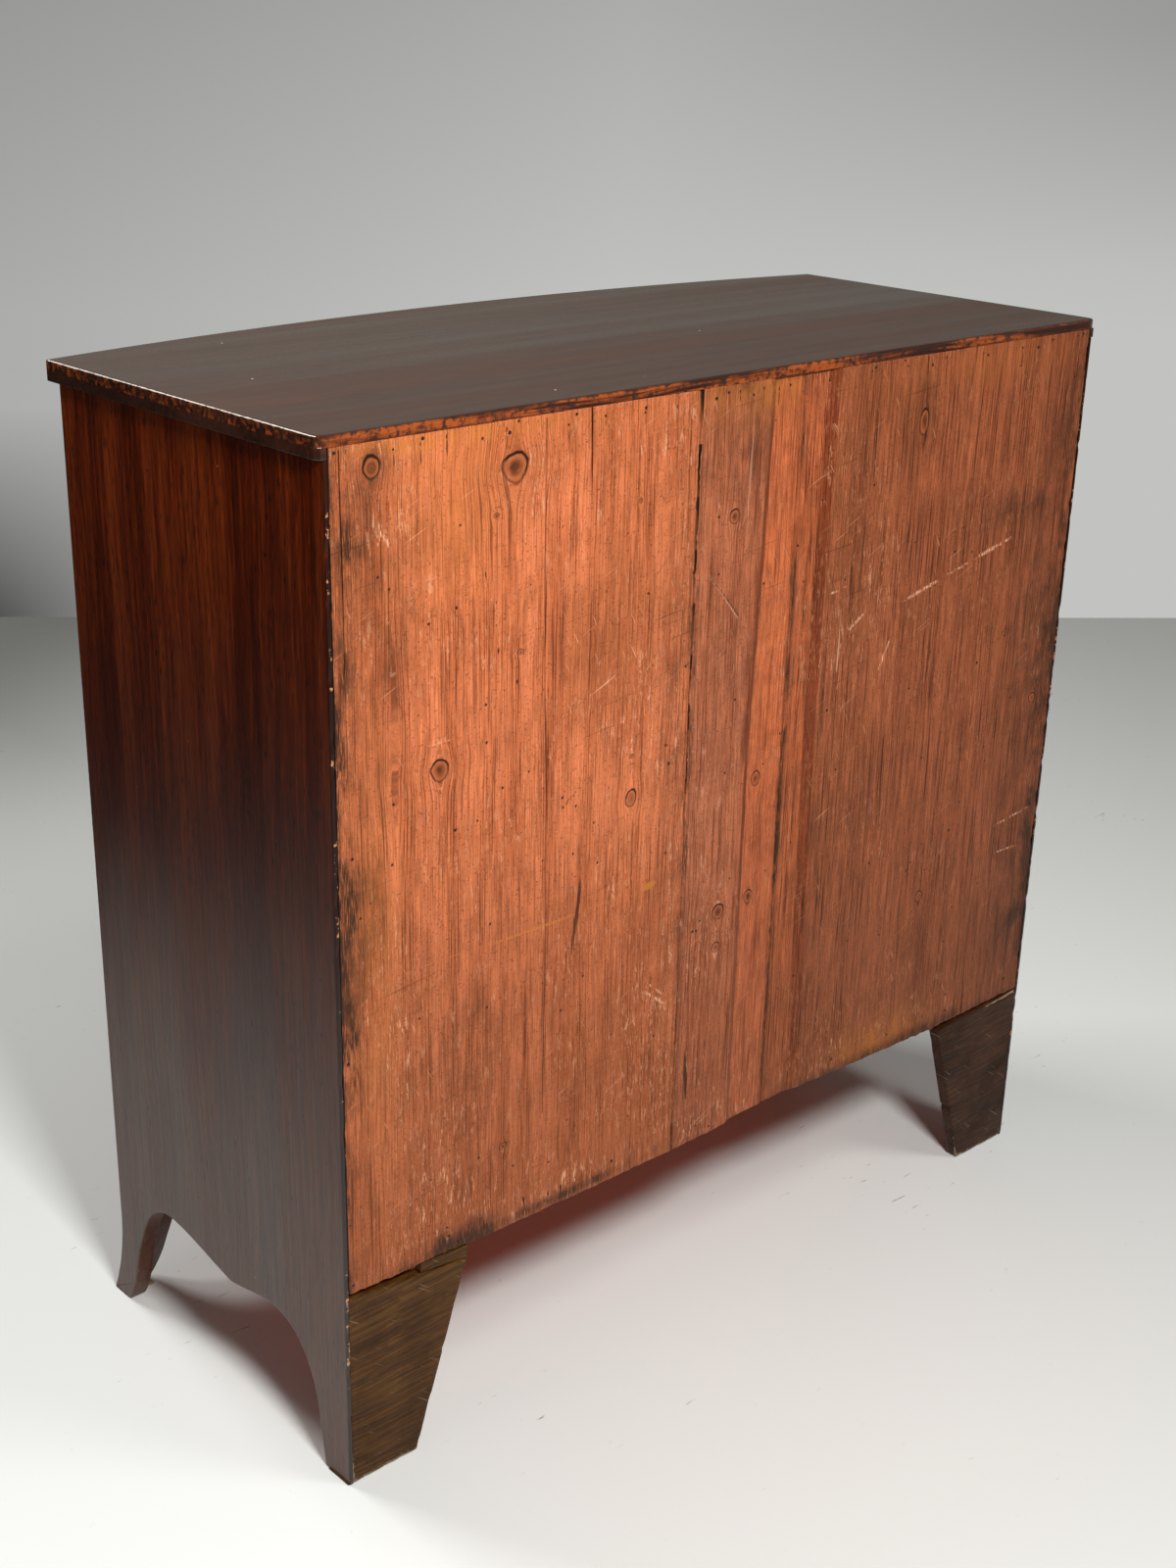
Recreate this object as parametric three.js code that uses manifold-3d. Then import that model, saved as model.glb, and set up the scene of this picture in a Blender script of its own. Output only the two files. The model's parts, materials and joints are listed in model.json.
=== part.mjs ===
// Bow front chest of drawers: mahogany case on splayed bracket feet, two short drawers over three
// long ones, pine back in three boards, brass bail handles. Sizes are in millimetres.
// The case stands on z = 0. Seen from the front, +X is to the right and the front faces -Y.
// Inside the case group y = 0 is the rear plane, and "reach" is a distance forward from it.
import * as THREE from 'three';
import { mergeVertices } from 'three/addons/utils/BufferGeometryUtils.js';
import Module from 'manifold-3d';

const wasm = await Module();
wasm.setup();

// Case
const caseWidth = 1046;
const sideDepth = 420;
const bowRise = 54;
const sideThickness = 20;
const fit = 0.3;
const overrun = 2;

// Top
const topThickness = 20;
const topSideOverhang = 6;
const topFrontOverhang = 11;

// Back, let into rebates of the sides and of the top
const backThickness = 14;
const rearLip = 4;
const topLip = 10;
const jointOneX = 91;
const jointTwoX = -52;
const boardGap = 1;
const fieldDepth = 4;
const middleFieldWidth = 50;
const leftFieldWidth = 38;
const leftBevelWidth = 16;

// Height of each part of the front, from the floor up
const footHeight = 216;
const baseThickness = 20;
const railHeight = 16;
const rowHeights = { lower: 220, middle: 190, upper: 165, short: 145 };

// Rails, dustboards and what parts the short drawers
const railDepth = 50;
const dustboardThickness = 8;
const housingDepth = 6;
const dividerWidth = 18;
const guideHeight = 30;

// Splay of the front feet
const flareReach = 25;
const flareHeight = 110;

// Lower edge of the sides: reach and height of its turning points, rear foot first
const rearToeReach = 41;
const rearAnkleReach = 48;
const rearAnkleHeight = 42;
const rearArchReach = 127;
const rearArchHeight = 146;
const dipReach = 201;
const dipHeight = 134;
const frontArchReach = 314;
const frontArchHeight = 155;
const frontAnkleReach = 390;
const frontAnkleHeight = 59;
const frontHeelReach = 413;

// Front apron with the facings of the front feet
const apronThickness = 20;
const apronToeWidth = 12;
const apronAnkleWidth = 33;
const apronArchWidth = 112;
const apronDrop = 27;
const apronDropHalfWidth = 90;

// Control points of those edges, as shares of each curve's run and of its rise or fall
const rearArchShares = [[0.03, 0.52], [0.34, 1]];
const dipShares = [[0.32, 0], [0.6, 0.7]];
const frontArchShares = [[0.35, 0.32], [0.74, 1]];
const ankleShares = [[0.5, 0], [0.75, 0.34]];
const heelShares = [[0.4, 0.67]];
const apronShares = [[0.35, 0], [0.65, 1]];

// Rear bracket feet
const bracketTopWidths = { right: 142, left: 154 };
const bracketToeWidths = { right: 80, left: 88 };
const bracketSlope = 12;

// Drawers
const drawerFrontThickness = 24;
const drawerSideThickness = 9;
const drawerBackThickness = 8;
const drawerBottomThickness = 6;
const drawerSideGap = 1;
const drawerTopGap = 1.2;
const drawerSideDrop = 3;
const drawerRearGap = 10;
const bottomRise = 8;
const grooveDepth = 5;
const lapThickness = 6;
const backDrop = 8;
const tailCounts = { lower: 4, middle: 3, upper: 3, short: 2 };
const tailNeckShare = 0.5;
const tailEndShare = 0.7;

// Handles: oval plates with two posts each, and the bails that hang in them
const plateHalfWidth = 46;
const plateHalfHeight = 30;
const plateThickness = 1.6;
const postSpread = 32;
const postCollarRadius = 5.6;
const postCollarHeight = 1;
const postNeckRadius = 3.4;
const postNeckStart = 2;
const postHeadRadius = 5.4;
const pivotReach = 8.5;
const studRadius = 2.4;
const studTail = 7;
const bailRadius = 2.3;
const bailHeel = 8;
const bailShoulder = 5;
const bailDrop = 36;

// Points of the bail: shares of the step from heel to shoulder and of the drop, then of the post
// spread and of the drop
const bailShoulderShares = [[0.75, 0.08], [1, 0.26], [0.5, 0.52]];
const bailGripShares = [[0.92, 0.84], [0.5, 0.97]];

// Facets
const bowFacets = 24;
const flareFacets = 6;
const sideSteps = 7;
const apronSteps = 10;
const plateFacets = 22;
const postFacets = 8;
const bailFacets = 6;
const bailSteps = 24;

// Derived places
const halfCase = caseWidth / 2;
const innerHalf = halfCase - sideThickness;
const backHalf = halfCase - rearLip;
const rows = {};
let nextHeight = footHeight + baseThickness;
for (const [row, height] of Object.entries(rowHeights)) {
  rows[row] = { low: nextHeight, high: nextHeight + height };
  nextHeight += height + railHeight;
}
const caseTop = nextHeight;
const railBack = sideDepth - railDepth;
const backTop = caseTop + topThickness - topLip;
const overallDepth = sideDepth + topFrontOverhang + bowRise;
const drawerEnd = innerHalf - drawerSideGap;
const shortDrawerEnd = dividerWidth / 2 + drawerSideGap;
const handleX = (drawerEnd + shortDrawerEnd) / 2;

// Finishes
const mahogany = { color: 0x4a2113, roughness: 0.38, metalness: 0 };
const washedPine = { color: 0xb5653f, roughness: 0.8, metalness: 0 };
const plainPine = { color: 0xb98f5c, roughness: 0.85, metalness: 0 };
const oak = { color: 0xa07b4d, roughness: 0.7, metalness: 0 };
const stainedOak = { color: 0x553b22, roughness: 0.65, metalness: 0 };
const brass = { color: 0xb08d4a, roughness: 0.35, metalness: 1 };

const chest = new THREE.Group();
const chestCase = new THREE.Group();
chestCase.position.y = overallDepth / 2;
chest.add(chestCase);

// A bowed line: its reach at a given x, for a face set in from the outer one
function bow(halfWidth, endReach, rise) {
  const radius = (halfWidth ** 2 + rise ** 2) / (2 * rise);
  const centre = endReach + rise - radius;
  return {
    radius,
    reach: (x, inset = 0) => centre + Math.sqrt((radius - inset) ** 2 - x ** 2),
  };
}
const caseBow = bow(halfCase, sideDepth, bowRise);
const topBow = bow(halfCase + topSideOverhang, sideDepth + topFrontOverhang, bowRise);

// The x of the ends of a bowed face and of the facet edges between them
function stations(low, high) {
  const step = caseWidth / bowFacets;
  const margin = step / 4;
  const found = [low];
  for (let i = -bowFacets; i <= bowFacets; i += 1) {
    if (i * step > low + margin && i * step < high - margin) found.push(i * step);
  }
  return [...found, high];
}

// Solids from outlines: across the case (y, z), through it (x, z) and upright (x, y)
function prism(points, low, high, basis) {
  const shape = new THREE.Shape(points.map(([a, b]) => new THREE.Vector2(a, b)));
  const geometry = new THREE.ExtrudeGeometry(shape, { depth: high - low, bevelEnabled: false });
  geometry.translate(0, 0, low);
  return solid(geometry.applyMatrix4(basis));
}
const X = new THREE.Vector3(1, 0, 0);
const Y = new THREE.Vector3(0, 1, 0);
const Z = new THREE.Vector3(0, 0, 1);
const acrossBasis = new THREE.Matrix4().makeBasis(Y, Z, X);
const throughBasis = new THREE.Matrix4().makeBasis(X, Z, Y.clone().negate());
const across = (points, low, high) => prism(points, low, high, acrossBasis);
const through = (points, low, high) => prism(points, low, high, throughBasis);
const upright = (points, low, high) => prism(points, low, high, new THREE.Matrix4());

// A board from its low and high x, reach and z
function board([x0, x1], [near, far], [z0, z1]) {
  const geometry = new THREE.BoxGeometry(x1 - x0, far - near, z1 - z0);
  geometry.translate((x0 + x1) / 2, -(near + far) / 2, (z0 + z1) / 2);
  return solid(geometry);
}

// Closed geometry to a solid that can be joined and cut, and back
function solid(geometry) {
  geometry.deleteAttribute('normal');
  geometry.deleteAttribute('uv');
  const merged = mergeVertices(geometry);
  const vertProperties = new Float32Array(merged.attributes.position.array);
  const triVerts = new Uint32Array(merged.index.array);
  return new wasm.Manifold(new wasm.Mesh({ numProp: 3, vertProperties, triVerts }));
}
function surface(body) {
  const mesh = body.getMesh();
  const geometry = new THREE.BufferGeometry();
  geometry.setAttribute('position', new THREE.BufferAttribute(new Float32Array(mesh.vertProperties), 3));
  geometry.setIndex(new THREE.BufferAttribute(new Uint32Array(mesh.triVerts), 1));
  geometry.computeVertexNormals();
  return geometry;
}
function add(name, body, finish, parent = chestCase) {
  const material = new THREE.MeshStandardMaterial({ ...finish, flatShading: true });
  const mesh = new THREE.Mesh(surface(body), material);
  mesh.name = name;
  parent.add(mesh);
}

// Extends a path by a curve to a point
function curveTo(path, [a, b], shares) {
  const { x, y } = path.currentPoint;
  const controls = shares.flatMap(([run, rise]) => [x + (a - x) * run, y + (b - y) * rise]);
  if (shares.length > 1) path.bezierCurveTo(...controls, a, b);
  else path.quadraticCurveTo(...controls, a, b);
}

// Everything behind the bowed and flared front of the case, or behind a face set in from it
function frontEnvelope(inset) {
  const levels = [-overrun];
  for (let i = 1; i <= flareFacets; i += 1) levels.push((flareHeight * i) / flareFacets);
  levels.push(caseTop + overrun);
  const layers = levels.length - 1;
  const stretch = 1 + (2 * overrun) / caseWidth;
  const geometry = new THREE.BoxGeometry(caseWidth, 1, 1, bowFacets, 1, layers);
  const place = geometry.attributes.position;
  for (let i = 0; i < place.count; i += 1) {
    const x = place.getX(i);
    const z = levels[Math.round((place.getZ(i) + 1 / 2) * layers)];
    const flare = flareReach * Math.max(0, 1 - z / flareHeight) ** 2;
    const y = place.getY(i) < 0 ? -caseBow.reach(x, inset) - flare : overrun;
    place.setXYZ(i, x * stretch, y, z);
  }
  return solid(geometry);
}
const outerEnvelope = frontEnvelope(0);

// A board with a bowed front and a straight rear edge
function bowedBoard([x0, x1], near, [z0, z1]) {
  const front = stations(x0, x1).map((x) => [x, -caseBow.reach(x)]);
  return upright([...front, [x1, -near], [x0, -near]], z0, z1);
}

// Lower edge of a side, from the rear toe to the front heel
function sideEdge() {
  const path = new THREE.Path();
  path.moveTo(rearToeReach, 0);
  path.lineTo(rearAnkleReach, rearAnkleHeight);
  curveTo(path, [rearArchReach, rearArchHeight], rearArchShares);
  curveTo(path, [dipReach, dipHeight], dipShares);
  curveTo(path, [frontArchReach, frontArchHeight], frontArchShares);
  curveTo(path, [frontAnkleReach, frontAnkleHeight], ankleShares);
  curveTo(path, [frontHeelReach, 0], heelShares);
  return path.getPoints(sideSteps).map((p) => [-p.x, p.y]);
}

// Dustboards lie in housings of the sides, level with the tops of their rails
const railTops = { lower: rows.middle.low, middle: rows.upper.low, upper: rows.short.low };

function side(hand) {
  const front = sideDepth + bowRise + flareReach;
  const outline = [[0, 0], ...sideEdge(), [-front, 0], [-front, caseTop], [0, caseTop]];
  const ends = [hand * innerHalf, hand * halfCase].sort((a, b) => a - b);
  let body = across(outline, ...ends).intersect(outerEnvelope);
  const cut = (from, to, reach, heights) => {
    const width = [hand * from, hand * to].sort((a, b) => a - b);
    body = body.subtract(board(width, reach, heights));
  };
  cut(innerHalf - overrun, backHalf + fit, [-overrun, backThickness + fit], [-overrun, caseTop + overrun]);
  for (const top of Object.values(railTops)) {
    const heights = [top - dustboardThickness - fit, top + fit];
    cut(innerHalf - overrun, innerHalf + housingDepth + fit, [0, railBack], heights);
  }
  return body;
}
add('side_right', side(1), mahogany);
add('side_left', side(-1), mahogany);

function topBoard() {
  const half = halfCase + topSideOverhang;
  const front = stations(-half, half).map((x) => [x, -topBow.reach(x)]);
  const body = upright([...front, [half, 0], [-half, 0]], caseTop, caseTop + topThickness);
  const rebate = [caseTop - overrun, backTop + fit];
  return body.subtract(board([-backHalf - fit, backHalf + fit], [-overrun, backThickness + fit], rebate));
}
add('top_board', topBoard(), mahogany);

// Base, rails and dustboards between the sides
const span = [-innerHalf, innerHalf];
add('top_rail', bowedBoard(span, railBack, [rows.short.high, caseTop]), mahogany);
add('base_board', bowedBoard(span, backThickness, [footHeight, footHeight + baseThickness]), mahogany);
for (const [row, top] of Object.entries(railTops)) {
  add(`drawer_rail_${row}`, bowedBoard(span, railBack, [top - railHeight, top]), mahogany);
  const half = innerHalf + housingDepth;
  const reach = [backThickness, railBack - fit];
  add(`dustboard_${row}`, board([-half, half], reach, [top - dustboardThickness, top]), plainPine);
}

// Divider of the short drawers and the guide behind it
const dividerSpan = [-dividerWidth / 2, dividerWidth / 2];
const dividerBack = caseBow.reach(0) - railDepth;
const guideHeights = [rows.short.low, rows.short.low + guideHeight];
add('centre_divider', bowedBoard(dividerSpan, dividerBack, [rows.short.low, rows.short.high]), mahogany);
add('drawer_guide', board(dividerSpan, [backThickness, dividerBack - fit], guideHeights), plainPine);

// Backboards: the middle and left ones are thinned where they meet
function backboard(outline) {
  return upright(outline, footHeight, backTop);
}
add('backboard_right', backboard([
  [backHalf, 0], [jointOneX + boardGap / 2, 0],
  [jointOneX + boardGap / 2, -backThickness], [backHalf, -backThickness],
]), washedPine);
add('backboard_middle', backboard([
  [jointOneX - boardGap / 2, 0], [jointTwoX + middleFieldWidth, 0],
  [jointTwoX + middleFieldWidth, -fieldDepth], [jointTwoX + boardGap / 2, -fieldDepth],
  [jointTwoX + boardGap / 2, -backThickness], [jointOneX - boardGap / 2, -backThickness],
]), washedPine);
add('backboard_left', backboard([
  [jointTwoX - boardGap / 2, -fieldDepth], [jointTwoX - leftFieldWidth, -fieldDepth],
  [jointTwoX - leftFieldWidth - leftBevelWidth, 0], [-backHalf, 0],
  [-backHalf, -backThickness], [jointTwoX - boardGap / 2, -backThickness],
]), washedPine);

// Rear bracket feet, let into the same rebates as the back
for (const [hand, sign] of [['right', 1], ['left', -1]]) {
  const topInner = backHalf - bracketTopWidths[hand];
  const toeInner = backHalf - bracketToeWidths[hand];
  const outline = [
    [sign * backHalf, 0], [sign * backHalf, footHeight],
    [sign * topInner, footHeight - bracketSlope], [sign * toeInner, 0],
  ];
  add(`rear_foot_${hand}`, through(outline, 0, backThickness), stainedOak);
}

// Front apron and foot facings, one shaped piece between the sides
function frontApron() {
  const half = new THREE.Path();
  half.moveTo(apronDropHalfWidth, frontArchHeight - apronDrop);
  curveTo(half, [innerHalf - apronArchWidth, frontArchHeight], apronShares);
  curveTo(half, [innerHalf - apronAnkleWidth, frontAnkleHeight], ankleShares);
  curveTo(half, [innerHalf - apronToeWidth, 0], heelShares);
  const edge = half.getPoints(apronSteps).map((p) => [p.x, p.y]);
  const outline = [
    [innerHalf, 0], [innerHalf, footHeight], [-innerHalf, footHeight], [-innerHalf, 0],
    ...[...edge].reverse().map(([x, z]) => [-x, z]), ...edge,
  ];
  const deepest = sideDepth + bowRise + flareReach + overrun;
  const shaped = through(outline, 0, deepest).intersect(outerEnvelope);
  return shaped.subtract(frontEnvelope(apronThickness));
}
add('front_apron', frontApron(), mahogany);

// Dovetails: the tails of one joint, and a tail's outline between two reaches with a clearance
function tailList(count, low, high) {
  const pitch = (high - low) / count;
  return Array.from({ length: count }, (_, i) => ({
    centre: low + pitch * (i + 1 / 2),
    neck: (pitch * tailNeckShare) / 2,
    end: (pitch * tailEndShare) / 2,
  }));
}
function tailOutline(tail, neckReach, endReach, from, to, clearance) {
  const halfAt = (reach) => {
    const share = (reach - neckReach) / (endReach - neckReach);
    return tail.neck + (tail.end - tail.neck) * share + clearance;
  };
  return [
    [-from, tail.centre - halfAt(from)], [-to, tail.centre - halfAt(to)],
    [-to, tail.centre + halfAt(to)], [-from, tail.centre + halfAt(from)],
  ];
}

// One drawer between two x, in a row of the front
function drawer(prefix, [x0, x1], row, handleXs) {
  const low = rows[row].low + fit;
  const high = rows[row].high - drawerTopGap;
  const sideTop = high - drawerSideDrop;
  const rear = backThickness + drawerRearGap;
  const backReach = rear + drawerBackThickness;
  const bottomLow = low + bottomRise;
  const bottomHigh = bottomLow + drawerBottomThickness;
  const backLow = bottomHigh + fit;
  const backHigh = sideTop - backDrop;
  const seats = [x0, x1].map((x) => caseBow.reach(x, drawerFrontThickness));
  const seatWidth = drawerSideThickness + fit;

  // The bottom is held in grooves on three sides and passes under the back
  const bottomOutline = (clearance) => {
    const edge = drawerSideThickness - grooveDepth + fit - clearance;
    const inset = drawerFrontThickness - grooveDepth + fit - clearance;
    const front = stations(x0 + edge, x1 - edge).map((x) => [x, -caseBow.reach(x, inset)]);
    return [...front, [x1 - edge, clearance - rear], [x0 + edge, clearance - rear]];
  };
  const groove = upright(bottomOutline(fit), bottomLow - fit, bottomHigh + fit);
  const bottom = upright(bottomOutline(0), bottomLow, bottomHigh);

  // The front has flat seats at its ends for the sides, and a bowed inner face between them
  const outer = stations(x0, x1);
  const inner = outer.filter((x) => x > x0 + 2 * seatWidth && x < x1 - 2 * seatWidth);
  const section = [
    ...outer.map((x) => [x, -caseBow.reach(x)]),
    [x1, -seats[1]], [x1 - seatWidth, -seats[1]],
    ...inner.reverse().map((x) => [x, -caseBow.reach(x, drawerFrontThickness)]),
    [x0 + seatWidth, -seats[0]], [x0, -seats[0]],
  ];
  let front = upright(section, low, high).subtract(groove);
  let back = board([x0, x1], [rear, backReach], [backLow, backHigh]);

  // Dovetailed sides: lapped joints at the front, through joints at the back
  const frontTails = tailList(tailCounts[row], low, sideTop);
  const backTails = tailList(tailCounts[row], backLow, backHigh);
  const backShoulder = backReach + fit;
  for (const [end, seat, inwards, name] of [[x0, seats[0], 1, 'left'], [x1, seats[1], -1, 'right']]) {
    const shoulder = seat - fit;
    const tip = shoulder + drawerFrontThickness - lapThickness;
    const outline = [
      [-rear, low], [-shoulder, low],
      ...frontTails.flatMap((tail) => tailOutline(tail, shoulder, tip, shoulder, tip, 0)),
      [-shoulder, sideTop], [-rear, sideTop], [-rear, backHigh + fit], [-backShoulder, backHigh + fit],
      ...backTails.flatMap((tail) => tailOutline(tail, backShoulder, rear, backShoulder, rear, 0)).reverse(),
      [-backShoulder, backLow - fit], [-rear, backLow - fit],
    ];
    const width = [end, end + inwards * drawerSideThickness].sort((a, b) => a - b);
    add(`${prefix}_side_${name}`, across(outline, ...width).subtract(groove), oak);

    const socket = [end - inwards * overrun, end + inwards * seatWidth].sort((a, b) => a - b);
    for (const tail of frontTails) {
      const cut = tailOutline(tail, shoulder, tip, shoulder - overrun, tip + fit, fit);
      front = front.subtract(across(cut, ...socket));
    }
    for (const tail of backTails) {
      const cut = tailOutline(tail, backShoulder, rear, backShoulder + overrun, rear - overrun, fit);
      back = back.subtract(across(cut, ...socket));
    }
  }

  // Handles: each on its own tangent of the bow, with studs through the front
  handleXs.forEach((x, i) => {
    const hand = handleXs.length > 1 ? ['_left', '_right'][i] : '';
    const mount = new THREE.Group();
    mount.position.set(x, -caseBow.reach(x), (low + high) / 2);
    mount.rotation.z = Math.asin(x / caseBow.radius);
    mount.updateMatrix();
    chestCase.add(mount);
    const holeRadius = studRadius + fit;
    const holeEnds = [-drawerFrontThickness - studTail, overrun];
    const hole = [[0, holeEnds[0]], [holeRadius, holeEnds[0]], [holeRadius, holeEnds[1]], [0, holeEnds[1]]];
    for (const post of [-postSpread, postSpread]) {
      front = front.subtract(turned(hole, post).transform(mount.matrix.toArray()));
    }
    add(`${prefix}_handle${hand}`, handlePlate(), brass, mount);
    add(`${prefix}_bail${hand}`, bail(), brass, mount);
  });

  add(`${prefix}_front`, front, mahogany);
  add(`${prefix}_back`, back, oak);
  add(`${prefix}_bottom`, bottom, oak);
}

// A turned shape standing out from the drawer front at x: radius and distance outwards
function turned(profile, x) {
  const geometry = new THREE.LatheGeometry(profile.map(([r, out]) => new THREE.Vector2(r, out)), postFacets);
  geometry.rotateX(Math.PI);
  geometry.translate(x, 0, 0);
  return solid(geometry);
}

// Oval plate with its two posts, bored for the bail, and the studs behind them
function handlePlate() {
  const oval = Array.from({ length: plateFacets }, (_, i) => {
    const turn = (2 * Math.PI * i) / plateFacets;
    return [plateHalfWidth * Math.cos(turn), plateHalfHeight * Math.sin(turn)];
  });
  const face = fit + plateThickness;
  const pivot = face + pivotReach;
  const studEnd = -drawerFrontThickness - studTail;
  const profile = [
    [0, studEnd], [studRadius, studEnd], [studRadius, face - plateThickness / 2],
    [postCollarRadius, face - plateThickness / 2], [postCollarRadius, face + postCollarHeight],
    [postNeckRadius, face + postNeckStart], [postHeadRadius, pivot - postHeadRadius / 2],
    [postHeadRadius, pivot + postHeadRadius / 2], [0, pivot + postHeadRadius],
  ];
  let body = through(oval, fit, face);
  for (const post of [-postSpread, postSpread]) body = body.add(turned(profile, post));
  const boreRadius = (bailRadius + fit) / Math.cos(Math.PI / postFacets);
  const boreLength = 2 * (postSpread + postHeadRadius + overrun);
  const bore = new THREE.CylinderGeometry(boreRadius, boreRadius, boreLength, postFacets);
  bore.rotateZ(Math.PI / 2);
  bore.translate(0, -pivot, 0);
  return body.subtract(solid(bore));
}

// The bail: its ends lie in the posts' bores, and the grip hangs below them
function bail() {
  const pivot = fit + plateThickness + pivotReach;
  const heel = postSpread + bailHeel;
  const half = [
    [postSpread - postHeadRadius / 2, 0], [postSpread + postHeadRadius / 2, 0], [heel, 0],
    ...bailShoulderShares.map(([step, drop]) => [heel + bailShoulder * step, -bailDrop * drop]),
    ...bailGripShares.map(([spread, drop]) => [postSpread * spread, -bailDrop * drop]),
  ];
  const points = [
    ...half.map(([x, z]) => new THREE.Vector3(-x, -pivot, z)),
    new THREE.Vector3(0, -pivot, -bailDrop),
    ...half.reverse().map(([x, z]) => new THREE.Vector3(x, -pivot, z)),
  ];
  const section = new THREE.Shape(Array.from({ length: bailFacets }, (_, i) => {
    const turn = (2 * Math.PI * i) / bailFacets;
    return new THREE.Vector2(bailRadius * Math.cos(turn), bailRadius * Math.sin(turn));
  }));
  const extrudePath = new THREE.CatmullRomCurve3(points);
  return solid(new THREE.ExtrudeGeometry(section, { steps: bailSteps, extrudePath, bevelEnabled: false }));
}

drawer('short_drawer_left', [-drawerEnd, -shortDrawerEnd], 'short', [-handleX]);
drawer('short_drawer_right', [shortDrawerEnd, drawerEnd], 'short', [handleX]);
for (const row of ['upper', 'middle', 'lower']) {
  drawer(`long_drawer_${row}`, [-drawerEnd, drawerEnd], row, [-handleX, handleX]);
}

export default chest;
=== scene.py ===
"""Looks of a bow front chest of drawers: polished mahogany case, back of washed pine boards, brass handles.

Sizes are in millimetres unless a name says otherwise. Points are given as x, reach and height, where
reach is the distance forward from the rear plane of the case.
"""
import json
import logging
import math
from collections.abc import Callable, Sequence
from dataclasses import dataclass
from enum import Enum
from functools import partial

import bmesh
import bpy
import numpy as np
from mathutils import Euler, Matrix, Vector
from mathutils.geometry import delaunay_2d_cdt


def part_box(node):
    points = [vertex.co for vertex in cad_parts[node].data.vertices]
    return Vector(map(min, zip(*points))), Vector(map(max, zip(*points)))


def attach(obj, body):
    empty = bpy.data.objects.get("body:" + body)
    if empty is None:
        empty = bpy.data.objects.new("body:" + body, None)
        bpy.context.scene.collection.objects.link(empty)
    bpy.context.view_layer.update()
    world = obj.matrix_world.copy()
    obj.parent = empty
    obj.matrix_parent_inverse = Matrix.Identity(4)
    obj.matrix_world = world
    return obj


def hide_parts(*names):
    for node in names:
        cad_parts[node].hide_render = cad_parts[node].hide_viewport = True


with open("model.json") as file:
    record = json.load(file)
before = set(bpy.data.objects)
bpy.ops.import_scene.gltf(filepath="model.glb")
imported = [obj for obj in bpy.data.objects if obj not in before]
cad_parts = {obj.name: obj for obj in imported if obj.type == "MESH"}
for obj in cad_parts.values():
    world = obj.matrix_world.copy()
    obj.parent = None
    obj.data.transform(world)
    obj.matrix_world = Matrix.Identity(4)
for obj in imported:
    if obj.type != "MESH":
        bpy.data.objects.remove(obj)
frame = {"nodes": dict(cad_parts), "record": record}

log = logging.getLogger("chest")
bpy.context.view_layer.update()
METRES = 0.001
REAR_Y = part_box("side_right")[1][1] / METRES
CASE = "case"

Socket = bpy.types.NodeSocket
Material = bpy.types.Material
Piece = bpy.types.Object
Tree = bpy.types.NodeTree
Line = Sequence[tuple[float, float]]

# Node types, each with the output and the settings that it has where a call gives none
NOISE = ("ShaderNodeTexNoise", 0, {})
CELLS = ("ShaderNodeTexVoronoi", "Distance", {})
MARK = ("ShaderNodeAttribute", "Fac", {})
COORDINATES = ("ShaderNodeTexCoord", "Object", {})
RAY = ("ShaderNodeLightPath", "Is Camera Ray", {})
PLACE = ("ShaderNodeMapping", 0, {})
SPLIT = ("ShaderNodeSeparateXYZ", "Z", {})
JOIN = ("ShaderNodeCombineXYZ", 0, {})
RANGE = ("ShaderNodeMapRange", 0, {})
MIX = ("ShaderNodeMix", 0, {})
LAY = ("ShaderNodeMix", 2, {"data_type": "RGBA"})
MATH = ("ShaderNodeMath", 0, {})
TIMES = ("ShaderNodeMath", 0, {"operation": "MULTIPLY"})
TIMES_PLUS = ("ShaderNodeMath", 0, {"operation": "MULTIPLY_ADD"})
PLUS = ("ShaderNodeMath", 0, {"operation": "ADD"})
LESS = ("ShaderNodeMath", 0, {"operation": "SUBTRACT"})
LARGER = ("ShaderNodeMath", 0, {"operation": "MAXIMUM"})
SCALED = ("ShaderNodeVectorMath", 0, {"operation": "SCALE"})
VECTOR = ("ShaderNodeVectorMath", 0, {})
DOT = ("ShaderNodeVectorMath", 1, {"operation": "DOT_PRODUCT"})
LENGTH = ("ShaderNodeVectorMath", 1, {"operation": "LENGTH"})


class Hand(Enum):
    """Sides of the chest, as seen from the front."""

    RIGHT = 1
    LEFT = -1


class Grain(Enum):
    """How fast a pattern changes along X, Y and Z, for wood grain that runs along one of them."""

    ALONG_X = (0.035, 1.0, 1.0)
    ALONG_Y = (1.0, 0.035, 1.0)
    UPRIGHT = (1.0, 1.0, 0.035)


def linear(code: int) -> tuple[float, float, float, float]:
    """Turns an sRGB hex value into a linear colour.

    Args:
        code: the colour as 0xRRGGBB.

    Returns:
        Its linear red, green, blue and alpha.
    """
    parts = [((code >> shift) & 255) / 255 for shift in (16, 8, 0)]
    return (*[c / 12.92 if c <= 0.04045 else ((c + 0.055) / 1.055) ** 2.4 for c in parts], 1.0)


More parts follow.
